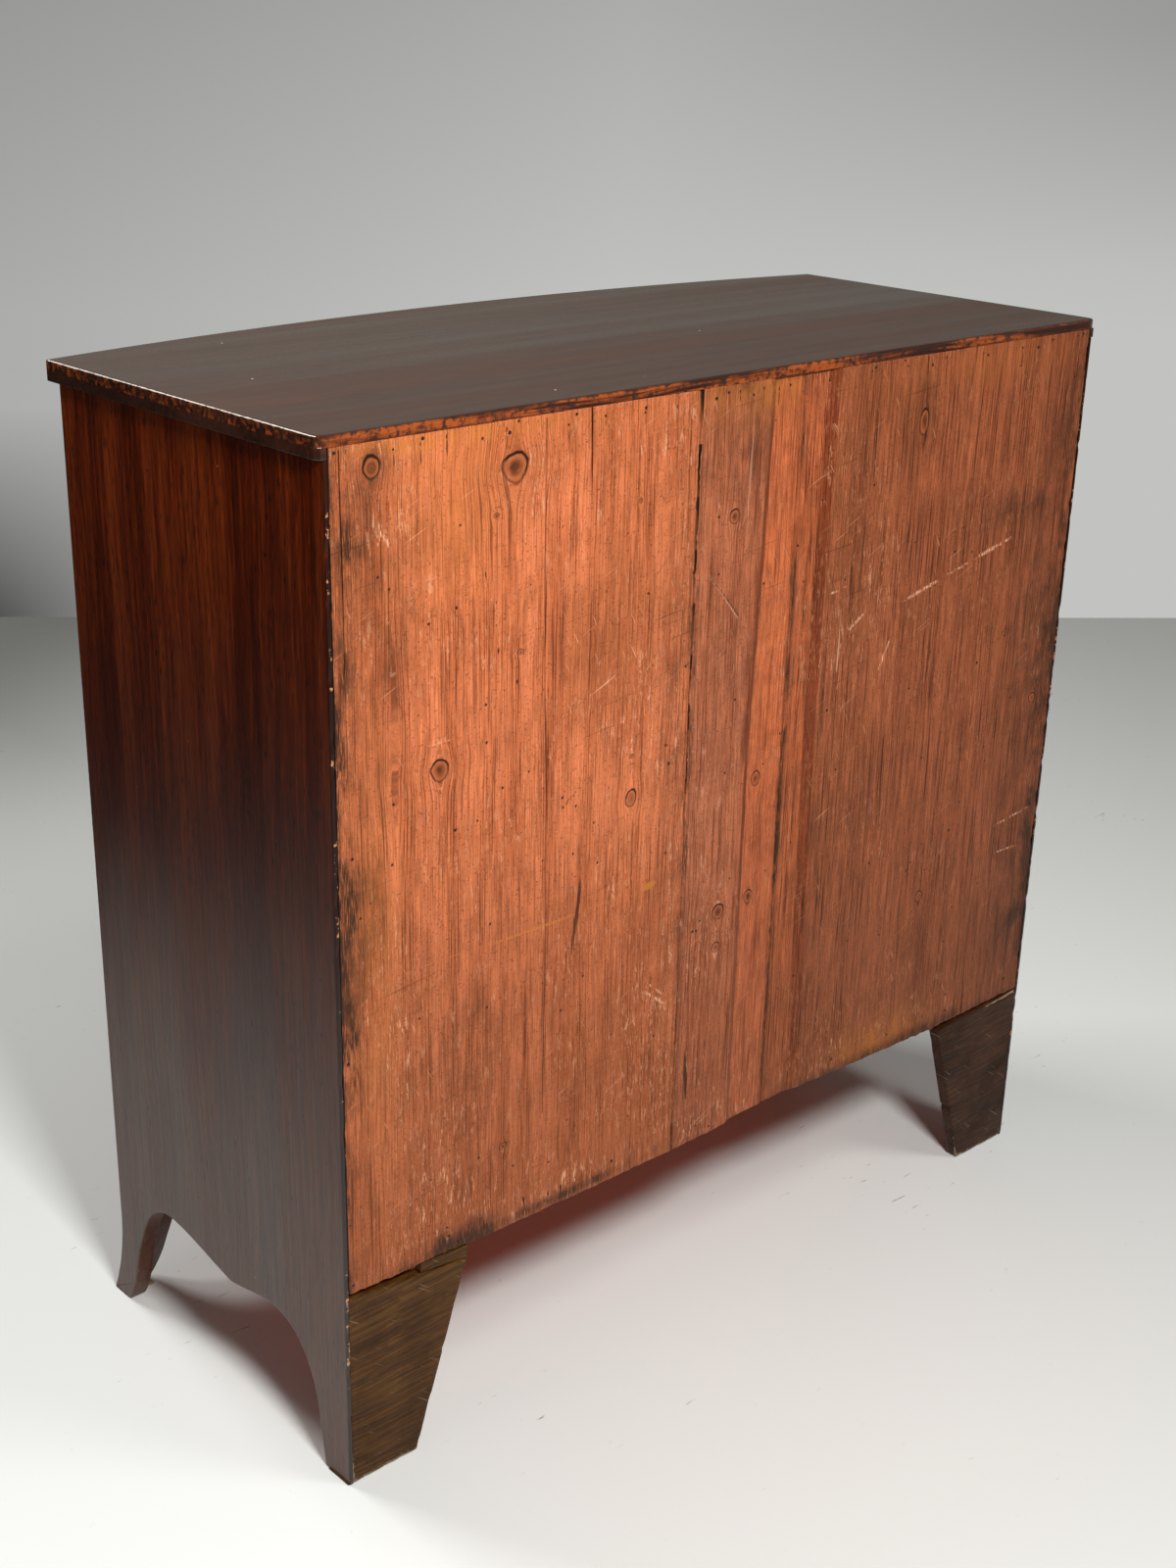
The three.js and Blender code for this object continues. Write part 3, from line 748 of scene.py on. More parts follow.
@dataclass(frozen=True)
class WashedPine:
    """Pine boards under a thin red ochre wash, left rough from the plane and rubbed by hands and walls.

    The eye sees a chalky salmon ground, fine red-brown summer grain, pale fibres where the wash is rubbed off, brown
    soot at the edges, and grain that bends round dark-rimmed knots. On the far board the darker ground and soot are
    partly painted shade, where the light falls off.
    """

    name: str
    ground: int = 0xD0754A
    deep: int = 0xB35E35
    brown: int = 0x844521
    line: int = 0x622A11
    pale: int = 0xE2A27C
    soot: int = 0x3E2416
    ochre: int = 0xBE742C
    channel: int = 0xBA6036
    bevel: int = 0x6C2C12
    lines: float = 0.9
    rubbed: float = 0.65
    strands: tuple[float, float] = (0.66, 1.34)
    shift: float = 0.0

    def along(self, s: Surface, stretch: float, step: float) -> Socket:
        """Coordinates across the grain and, squeezed, along it."""
        height = s.add(SPLIT, {0: s.place})
        up = s.add(TIMES_PLUS, {0: height, 1: stretch, 2: self.shift + step})
        return s.add(JOIN, {0: s.mark("grain"), 1: up})

    def hairs(self, s: Surface, angle: float, length: float, least: float, seed: float) -> Socket:
        """Draws sparse hairline scratches, all near one angle.

        Args:
            s: the surface.
            angle: their angle from the horizontal, in degrees.
            length: their usual length in metres.
            least: the noise level from which they show.
            seed: moves the pattern.

        Returns:
            Their mask.
        """
        turned = s.add(PLACE, {"Vector": s.place, "Location": (seed, 0, seed), "Rotation": (0, math.radians(angle), 0),
                               "Scale": (length, 1.0, 0.0016)}, vector_type="TEXTURE")
        return s.add(
            RANGE, {0: s.add(NOISE, {"Vector": turned, "Scale": 1.0, "Detail": 1.0}), 1: least, 2: least + 0.05})

    def knots(self, s: Surface, colour: Socket, grit: Socket) -> Socket:
        """Paints the knots over a colour: brown turns inside a dark, broken rim, with a dark heart."""
        beside, above = s.mark("beside"), s.mark("above")
        place = s.add(JOIN, {0: beside, 1: above})
        ring = s.add(LENGTH, {0: place})
        lump = s.add(NOISE, {"Vector": s.place, "Scale": 55.0, "Detail": 2.0})
        ring = s.add(TIMES, {0: ring, 1: s.add(RANGE, {0: lump, 1: 0.3, 2: 0.7, 3: 0.86, 4: 1.16})})
        inside = s.add(RANGE, {0: ring, 1: 1.15, 2: 0.75, 4: 0.72})
        phase = s.add(TIMES_PLUS, {0: ring, 1: 9.0, 2: s.add(TIMES, {0: grit, 1: 2.0})})
        turns = s.add(RANGE, {0: s.add(MATH, {0: phase}, operation="SINE"), 1: -1.0, 2: 1.0})
        core = s.add(LAY, {0: turns, 6: linear(0x72381B), 7: linear(0x9A5530)})
        colour = s.add(LAY, {0: inside, 6: colour, 7: core})
        rim = s.add(MATH, {0: s.add(LESS, {0: ring, 1: 1.0})}, operation="ABSOLUTE")
        rim = s.add(RANGE, {0: rim, 1: 0.17, 2: 0.03, 4: 1.3})
        # A rim is darkest on one side, where the knot has shrunk
        side = s.add(TIMES_PLUS, {0: above, 1: 0.35, 2: s.add(TIMES, {0: lump, 1: 1.6})})
        rim = s.add(TIMES, {0: rim, 1: s.add(RANGE, {0: side, 1: 0.6, 2: 1.15, 3: 0.45})})
        heart = s.add(RANGE, {0: s.add(PLUS, {0: ring, 1: lump}), 1: 0.92, 2: 0.62, 4: 0.75})
        rim = s.add(LARGER, {0: rim, 1: heart})
        return s.add(LAY, {0: rim, 6: colour, 7: linear(0x260F06)})

    def material(self) -> Material:
        """Builds the finish."""
        s = Surface(self.name)
        # Summer grain every 1.5 to 4 mm, plane strokes, patches of thick and thin wash
        fine = s.add(NOISE, {"Vector": self.along(s, 0.011, 0.0), "Scale": 720.0, "Detail": 3.0, "Roughness": 0.6})
        middle = s.add(NOISE, {"Vector": self.along(s, 0.016, 1.0), "Scale": 330.0, "Detail": 4.0, "Roughness": 0.6})
        wide = s.add(NOISE, {"Vector": self.along(s, 0.03, 2.0), "Scale": 60.0, "Detail": 3.0})
        fleck = s.add(NOISE, {"Vector": self.along(s, 0.07, 4.0), "Scale": 950.0, "Detail": 3.0, "Roughness": 0.6})
        wash = s.add(NOISE, {"Vector": s.place, "Scale": 9.0, "Detail": 6.0, "Roughness": 0.65})
        age = s.add(NOISE, {"Vector": s.place, "Scale": 4.0, "Detail": 5.0, "Roughness": 0.6})
        grit = s.add(NOISE, {"Vector": s.place, "Scale": 420.0, "Detail": 3.0, "Roughness": 0.7})
        broad = s.add(MIX, {0: 0.5, 2: wide, 3: wash})
        colour = s.add(LAY, {0: s.add(RANGE, {0: broad, 1: 0.4, 2: 0.6}), 6: linear(self.ground), 7: linear(self.deep)})
        colour = s.add(LAY, {0: s.add(RANGE, {0: age, 1: 0.46, 2: 0.66, 4: 0.62}), 6: colour, 7: linear(self.brown)})
        # The channel of the lap is a rougher orange, its bevels are dark
        channel = s.mark("channel")
        flat = s.add(RANGE, {0: s.add(TIMES_PLUS, {0: wash, 1: 0.2, 2: channel}), 1: 0.98, 2: 1.08, 4: 0.8})
        colour = s.add(LAY, {0: flat, 6: colour, 7: linear(self.channel)})
        crisp = s.add(NOISE, {"Vector": s.place, "Scale": 60.0, "Detail": 3.0})
        slope = s.add(TIMES_PLUS, {0: crisp, 1: 0.12, 2: channel})
        rise = s.add(RANGE, {0: slope, 1: 0.08, 2: 0.12})
        fall = s.add(RANGE, {0: slope, 1: 1.06, 2: 1.0})
        bevel = s.add(TIMES, {0: s.add(TIMES, {0: rise, 1: fall}), 1: 0.8})
        colour = s.add(LAY, {0: bevel, 6: colour, 7: linear(self.bevel)})
        mottle = s.add(NOISE, {"Vector": self.along(s, 0.3, 5.0), "Scale": 75.0, "Detail": 6.0, "Roughness": 0.7})
        mottle = s.add(RANGE, {0: mottle, 1: 0.52, 2: 0.66, 4: 0.4})
        colour = s.add(LAY, {0: mottle, 6: colour, 7: linear(self.brown)})
        height = s.add(SPLIT, {0: s.place})
        low = s.add(RANGE, {0: s.add(TIMES_PLUS, {0: age, 1: 0.3, 2: height}), 1: 0.8, 2: 0.34, 4: 0.68})
        colour = s.add(LAY, {0: low, 6: colour, 7: linear(self.brown)})
        # Grain lines
        crowd = s.add(RANGE, {0: wide, 1: 0.34, 2: 0.6, 3: 0.3})
        mask = s.add(TIMES, {0: s.add(RANGE, {0: fine, 1: 0.52, 2: 0.6}), 1: crowd})
        mask = s.add(LARGER, {0: mask, 1: s.add(RANGE, {0: middle, 1: 0.57, 2: 0.7, 4: 0.3})})
        mask = s.add(TIMES, {0: mask, 1: self.lines})
        colour = s.add(LAY, {0: mask, 6: colour, 7: linear(self.line)})
        strand = s.add(NOISE, {"Vector": self.along(s, 0.045, 8.0), "Scale": 430.0, "Detail": 4.0, "Roughness": 0.75})
        colour = s.fibres(colour, strand, *self.strands)
        # Wash rubbed off the fibres
        thin = s.add(PLUS, {0: s.mark("worn"), 1: s.add(RANGE, {0: wash, 1: 0.42, 2: 0.66, 4: self.rubbed})})
        chalk = s.add(NOISE, {"Vector": self.along(s, 0.2, 6.0), "Scale": 170.0, "Detail": 6.0, "Roughness": 0.75})
        chalk = s.add(LARGER,
                      {0: s.add(RANGE, {0: fleck, 1: 0.56, 2: 0.64, 4: 0.7}),
                       1: s.add(RANGE, {0: chalk, 1: 0.57, 2: 0.62})})
        light = s.add(TIMES, {0: chalk, 1: thin}, use_clamp=True)
        colour = s.add(LAY, {0: light, 6: colour, 7: linear(self.pale)})
        speck = s.add(RANGE, {0: grit, 1: 0.58, 2: 0.66, 4: 0.75})
        colour = s.add(LAY, {0: speck, 6: colour, 7: linear(self.line)})
        # Bare yellow wood
        bare = s.add(TIMES, {0: s.mark("ochre"), 1: s.add(RANGE, {0: grit, 1: 0.35, 2: 0.55})}, use_clamp=True)
        colour = s.add(LAY, {0: bare, 6: colour, 7: linear(self.ochre)})
        # Hairline scratches and scuffs
        zone = s.add(RANGE, {0: age, 1: 0.4, 2: 0.6, 3: 0.1, 4: 0.65})
        for angle, length, least, seed, tone in (
            (24.0, 0.07, 0.735, 3.0, self.pale), (-62.0, 0.03, 0.74, 5.0, self.pale), (6.0, 0.12, 0.72, 9.0, self.line),
            (48.0, 0.06, 0.74, 7.0, self.soot)):
            hair = s.add(TIMES, {0: self.hairs(s, angle, length, least, seed), 1: zone})
            colour = s.add(LAY, {0: hair, 6: colour, 7: linear(tone)})
        # Soot lies in the hollows of the grain; on the far board the soil marks are partly painted shade, where the
        # light falls off
        broken = s.add(RANGE, {0: s.add(MIX, {0: 0.45, 2: fleck, 3: wash}), 1: 0.42, 2: 0.54, 3: 0.15, 4: 1.3})
        dirt = s.add(TIMES, {0: s.mark("soil"), 1: broken}, use_clamp=True)
        colour = s.add(LAY, {0: dirt, 6: colour, 7: linear(self.soot)})
        cell = s.add(CELLS, {"Vector": s.place, "Scale": 34.0})
        hole = s.add(RANGE, {0: cell, 1: 0.06, 2: 0.04, 4: 0.9})
        colour = s.add(LAY, {0: hole, 6: colour, 7: linear(0x1E0F08)})
        colour = self.knots(s, colour, grit)
        # Marks whose places the mesh knows: it holds the distance to their edge in millimetres
        hatch = s.add(RANGE, {0: fine, 1: 0.4, 2: 0.6, 3: 1.6, 4: -1.2})
        for key, tone, ease, most in (("stain", 0xB8702A, 0.5, 0.8), ("scratch", 0xE6AE8C, 0.8, 0.75),
                                      ("scar", 0x3C1D10, 0.5, 0.85), ("crack", 0x120805, 0.1, 1.0)):
            edge = s.add(TIMES_PLUS, {0: hatch, 1: ease, 2: s.mark(key)})
            cut = s.add(RANGE, {0: edge, 1: 0.35, 2: -0.35, 4: most})
            colour = s.add(LAY, {0: cut, 6: colour, 7: linear(tone)})
        # Raw inner faces
        raw = s.add(LAY, {0: fine, 6: linear(0xA87B4C), 7: linear(0xC89A66)})
        colour = s.add(LAY, {0: s.mark("outer"), 6: raw, 7: colour})
        relief = s.add(TIMES_PLUS, {0: mask, 1: -0.4, 2: s.add(MIX, {0: 0.35, 2: strand, 3: grit})})
        gloss = s.add(RANGE, {0: wash, 1: 0.3, 2: 0.7, 3: 0.46, 4: 0.62})
        return s.finish(colour, gloss, relief, 0.0008, 0.75, Specular_IOR_Level=0.22)


@dataclass(frozen=True)
class SawnWood:
    """Sawn and planed wood without polish: pine, oak or stained oak.

    The eye sees dull, close grain lines with darker pores, and grime or pale scuffs where it is handled.
    """

    name: str
    grain: Grain
    dark: int
    light: int
    soot: int = 0x2A1A10
    scuff: int = 0xA8977E
    dirt: float = 0.3
    scuffs: float = 0.0
    roughness: float = 0.62
    shift: float = 0.0

    def material(self) -> Material:
        """Builds the finish."""
        s = Surface(self.name)
        bent = s.add(NOISE, {"Vector": s.place, "Scale": 6.0, "Detail": 1.0}, "Color")
        wander = s.add(VECTOR, {0: bent, 1: (0.02,) * 3}, operation="MULTIPLY")
        swayed = s.add(VECTOR, {0: s.place, 1: wander}, operation="ADD")
        along = s.add(PLACE, {"Vector": swayed, "Scale": self.grain.value, "Location": (self.shift,) * 3})
        # Grain lines every 3 mm with fibres of 1 mm
        line = s.add(NOISE, {"Vector": along, "Scale": 330.0, "Detail": 3.0, "Roughness": 0.6})
        fibre = s.add(NOISE, {"Vector": along, "Scale": 1000.0, "Detail": 2.0})
        blot = s.add(NOISE, {"Vector": s.place, "Scale": 22.0, "Detail": 4.0, "Roughness": 0.65})
        grit = s.add(NOISE, {"Vector": s.place, "Scale": 160.0, "Detail": 4.0, "Roughness": 0.75})
        tone = s.add(MIX, {0: 0.35, 2: line, 3: fibre})
        colour = s.add(LAY, {0: s.add(RANGE, {0: tone, 1: 0.4, 2: 0.6}), 6: linear(self.dark), 7: linear(self.light)})
        colour = s.fibres(colour, line, 0.88, 1.12)
        soiled = s.add(RANGE, {0: blot, 1: 0.42, 2: 0.7, 4: self.dirt})
        colour = s.add(LAY, {0: soiled, 6: colour, 7: linear(self.soot)})
        rubbed = s.add(TIMES_PLUS, {0: s.mark("arris"), 1: 0.62, 2: s.mark("scuff")})
        rubbed = s.add(TIMES, {0: rubbed, 1: grit})
        rubbed = s.add(RANGE, {0: rubbed, 1: 0.4, 2: 0.5, 4: self.scuffs})
        colour = s.add(LAY, {0: rubbed, 6: colour, 7: linear(self.scuff)})
        turned = s.add(PLACE, {"Vector": s.place, "Rotation": (0, math.radians(-38), 0), "Scale": (0.05, 1.0, 0.0014)},
                       vector_type="TEXTURE")
        hair = s.add(RANGE, {0: s.add(NOISE, {"Vector": turned, "Scale": 1.0}), 1: 0.7, 2: 0.76, 4: self.scuffs})
        colour = s.add(LAY, {0: hair, 6: colour, 7: linear(self.scuff)})
        relief = s.add(MIX, {0: 0.5, 2: line, 3: fibre})
        gloss = s.add(RANGE, {0: blot, 1: 0.3, 2: 0.7, 3: self.roughness - 0.1, 4: self.roughness + 0.1})
        return s.finish(colour, gloss, relief, 0.0006, 0.6, Specular_IOR_Level=0.16)


@dataclass(frozen=True)
class OldMetal:
    """Cast or stamped metal that has darkened: brass with brown tarnish in its hollows, or rusted iron."""

    name: str
    bright: int
    tarnish: int
    spread: float = 0.5
    metallic: float = 1.0
    roughness: float = 0.3

    def material(self) -> Material:
        """Builds the finish."""
        s = Surface(self.name)
        cloud = s.add(NOISE, {"Vector": s.place, "Scale": 60.0, "Detail": 6.0, "Roughness": 0.6})
        grit = s.add(NOISE, {"Vector": s.place, "Scale": 1400.0, "Detail": 2.0})
        hollow = s.add(TIMES_PLUS, {0: s.mark("hollow"), 1: 0.45, 2: cloud})
        mask = s.add(RANGE, {0: hollow, 1: 0.62 - 0.3 * self.spread, 2: 1.0 - 0.3 * self.spread})
        colour = s.add(LAY, {0: mask, 6: linear(self.bright), 7: linear(self.tarnish)})
        gloss = s.add(RANGE, {0: mask, 3: self.roughness, 4: self.roughness + 0.28})
        relief = s.add(MIX, {0: 0.5, 2: cloud, 3: grit})
        return s.finish(colour, gloss, relief, 0.00015, 0.3, Metallic=self.metallic)


@dataclass(frozen=True)
class Knot:
    """A knot in a board: its centre, half width, half height and whether it is sunk."""

    x: float
    z: float
    width: float
    height: float
    lift: float = 0.3


@dataclass(frozen=True)
class Cut:
    """A crack, scratch or gouge: its line, half width, depth and kind."""

    path: Line
    width: float
    depth: float = 0.0
    kind: str = "crack"


@dataclass(frozen=True)
class Patch:
    """A soft patch of wear, of bare wood, or of soot that on the far board is partly painted shade: centre, half sizes
    and strength.
    """

    x: float
    z: float
    width: float
    height: float
    strength: float
    kind: str = "soil"


@dataclass(frozen=True)
class BackBoard:
    """One upright board of the back, with its outer face as a fine grid so that its relief is real."""

    node: str
    low: Line
    high: Line
    foot: Line
    top: float
    finish: WashedPine
    seed: int
    hollow: Line = ((0.0, 0.0),)
    drift: Line = ((0.0, 0.0),)
    knots: tuple[Knot, ...] = ()
    cuts: tuple[Cut, ...] = ()
    patches: tuple[Patch, ...] = ()
    thickness: float = 14.0
    column: float = 1.75
    row: float = 3.0
    arris: float = 0.8
    pull: float = 12.0
    fade: float = 14.0
    lap: float = 4.0
    clear: float = 30.0
    splinter: float = 3.2

    def open_cracks(self) -> list[tuple[Cut, float]]:
        """Cracks deeper than a millimetre, which the grid follows, each with its middle."""
        return [(cut, float(np.mean([x for x, _ in cut.path]))) for cut in self.cuts
                if cut.kind == "crack" and cut.depth > 1]

    def columns(self) -> np.ndarray:
        """Columns of the grid: even ones, close ones at the edges and three for each crack."""
        low, high = self.low[0][1], self.high[0][1]
        marks = [low, low + 0.4, low + 1.2, high - 1.2, high - 0.4, high]
        for cut, middle in self.open_cracks():
            marks += [middle - cut.width, middle, middle + cut.width]
        even = np.arange(low + 2.0, high - 2.0, self.column)
        even = [x for x in even if min(abs(x - mark) for mark in marks) > 0.6]
        return np.array(sorted([*marks, *even]))

    def grid(self) -> tuple[np.ndarray, np.ndarray]:
        """Places of the grid's points across and up the board."""
        columns = self.columns()
        foot = min(z for _, z in self.foot)
        rows = np.concatenate([[foot, foot + 0.4, foot + 1.2], np.arange(foot + 3, self.top - 2, self.row),
                               [self.top - 1.2, self.top - 0.4, self.top]])
        x, z = np.meshgrid(columns, rows)
        share = (x - columns[0]) / (columns[-1] - columns[0])
        low = np.interp(z, *zip(*sorted(self.low)))
        high = np.interp(z, *zip(*sorted(self.high)))
        x = x + (low - columns[0]) * (1 - share) + (high - columns[-1]) * share
        for cut, middle in self.open_cracks():
            heights, places = zip(*sorted((pz, px) for px, pz in cut.path))
            x = x + (np.interp(z, heights, places) - middle) * np.exp(-np.square((x - middle) / self.pull))
        xs, zs = zip(*sorted(self.foot))
        edge = np.interp(x, xs, zs) + 0.7 * rough(x / 9, x * 0 + self.seed, self.seed) + 0.5 * rough(x / 2.7, x * 0, 7)
        z = z + (edge - foot) * np.exp(-(z - foot) / self.fade)
        return x, z

    def bend(self, x: np.ndarray, z: np.ndarray) -> tuple[np.ndarray, np.ndarray, np.ndarray]:
        """Grain coordinate across the board, bent round the knots, and places within the knots.

        Args:
            x: places across the board.
            z: heights.

        Returns:
            The grain coordinate in millimetres, and the place from the nearest knot's centre, in knots.
        """
        grain = x + 2.2 * rough(x / 70, z / 260, self.seed + 1) + 0.7 * rough(x / 20, z / 120, self.seed + 2)
        nearest, beside, above = np.full(x.shape, 9.0), np.full(x.shape, 9.0), np.full(x.shape, 9.0)
        for knot in self.knots:
            across, up = x - knot.x, z - knot.z
            push = 0.8 * knot.width * np.exp(
                -np.square(up / (1.7 * knot.height))) * np.exp(-np.abs(across) / (2.6 * knot.width))
            grain = grain - np.sign(across) * np.minimum(np.abs(across), push)
            if not knot.lift:
                continue
            ring = np.hypot(across / knot.width, up / knot.height)
            closer = ring < nearest
            nearest[closer] = ring[closer]
            beside[closer] = (across / knot.width)[closer]
            above[closer] = (up / knot.height)[closer]
        return grain, beside, above

    def build(self) -> Piece:
        """Builds the board and stands it in for its CAD node."""
        x, z = self.grid()
        grain, beside, above = self.bend(x, z)
        ring = np.hypot(beside, above)
        drift = np.interp(z, *zip(*sorted(self.drift)))
        depth = np.interp(x - drift, *zip(*sorted(self.hollow)))
        channel = depth / self.lap
        depth = depth + 0.22 * rough(x / 45, z / 150, self.seed) + 0.10 * rough(grain / 5, z / 110, self.seed + 3)
        depth = depth + 0.07 * rough(
            grain / 3.4, z / 60, self.seed + 4) + 0.05 * rough(x / 6, z / 7, self.seed + 5) + 0.4
        depth = depth - 0.35 * np.exp(-np.square(ring)) + 0.35 * np.exp(-np.square((ring - 1) / 0.16))
        marks = {key: np.full(x.shape, self.clear) for key in ("crack", "scratch", "scar", "stain")}
        for cut in self.cuts:
            away, share = distance_to(cut.path, x, z)
            if cut.kind == "crack":
                taper = np.clip(1.15 - share, 0.12, 1)
            else:
                taper = np.sqrt(np.clip(4 * share * (1 - share), 0.1, 1))
            edge = away - cut.width * taper
            marks[cut.kind] = np.minimum(marks[cut.kind], edge)
            if cut.depth:
                depth = depth + cut.depth * taper * np.clip(1 - away / (cut.width + 0.35), 0, 1)
        soft = {key: np.zeros(x.shape) for key in ("soil", "worn", "ochre")}
        for patch in self.patches:
            ragged = 1 + 0.5 * rough(x / 14, z / 40, 31) + 0.4 * rough(x / 5, z / 16, 32)
            shape = np.exp(-np.square((x - patch.x) / patch.width) - np.square((z - patch.z) / patch.height))
            soft[patch.kind] = np.maximum(soft[patch.kind], patch.strength * shape * ragged)
        # Lost splinters along the two upright edges and rounded arrises
        for side, distance in ((1, x - x[:, :1]), (2, x[:, -1:] - x)):
            loss = np.clip(
                rough(z / 9, z * 0 + side, self.seed + 6) + 0.5 * rough(z / 3.1, z * 0, self.seed + side) - 0.45, 0, 1)
            depth = depth + self.splinter * loss * np.exp(-distance / 1.6)
            soft["worn"] = np.maximum(soft["worn"], 1.4 * loss * np.exp(-distance / 3))
        for step, drop in ((0, self.arris), (1, self.arris * 0.25)):
            depth[:, [step, -1 - step]] += drop
            depth[[step, -1 - step], :] += drop
        shell = Shell()
        rows, columns = x.shape
        points = np.stack([x, depth, z], -1).reshape(-1, 3)
        told = {**marks, **soft, "channel": channel, "beside": beside, "above": above, "grain": grain * METRES}
        number = np.arange(rows * columns).reshape(rows, columns)
        loop = np.concatenate([number[0, :-1], number[:-1, -1], number[-1, :0:-1], number[:0:-1, 0]])
        back = points[loop].copy()
        back[:, 1] = self.thickness
        count = len(loop)
        faces = bands(rows, columns, False)
        start = rows * columns
        ahead = np.roll(np.arange(count), -1)
        faces += np.stack([loop, np.arange(count) + start, ahead + start, loop[ahead]], -1).tolist()
        faces.append(list(range(start, start + count)))
        values = {key: np.concatenate([v.ravel(), v.ravel()[loop]]) for key, v in told.items()}
        values["outer"] = np.concatenate([np.ones(start), np.zeros(count)])
        shell.add(np.vstack([points, back]), faces, **values)
        return shell.piece(self.node + "_face", CASE, "washed_pine", self.finish.material(), (self.node,), 50)


def of_kinds(make: type, **kinds: Sequence[tuple]) -> tuple:
    """Makes cuts or patches from rows of their values, by kind."""
    return tuple(make(*row, kind=kind) for kind, rows in kinds.items() for row in rows)


def edge_cracks(x: float, top: float, low: float, width: float) -> tuple[Cut, ...]:
    """Dark open joint along a board's edge, wide at the top and broken further down.

    Args:
        x: place of the edge.
        top: height of its upper end.
        low: height of its lower end.
        width: half width at the top.

    Returns:
        The cuts.
    """
    chance = np.random.default_rng(int(abs(x)) + 4)
    steps = np.linspace(top, low, 9)
    return tuple(Cut(((x, high), (x + chance.uniform(-0.4, 0.4), foot + chance.uniform(0, 16))), width * (1 - 0.07 * i))
                 for i, (high, foot) in enumerate(zip(steps, steps[1:])))


def nail_runs(top: float, places: Sequence[float], seed: int) -> tuple[Cut, ...]:
    """Rusty nail holes along a board's upper edge, each with a dark run below it.

    Args:
        top: height of the holes.
        places: their places across the back.
        seed: picks their lengths.

    Returns:
        The cuts.
    """
    chance = np.random.default_rng(seed)
    cuts = []
    for x in places:
        height = top - chance.uniform(0, 8)
        cuts.append(Cut(((x, height + 1.5), (x, height - 1.5)), 1.5, 0.6))
        cuts.append(
            Cut(((x, height - 1), (x + chance.uniform(-1, 1), height - chance.uniform(8, 22))), 0.9, 0.1, "scar"))
    return tuple(cuts)


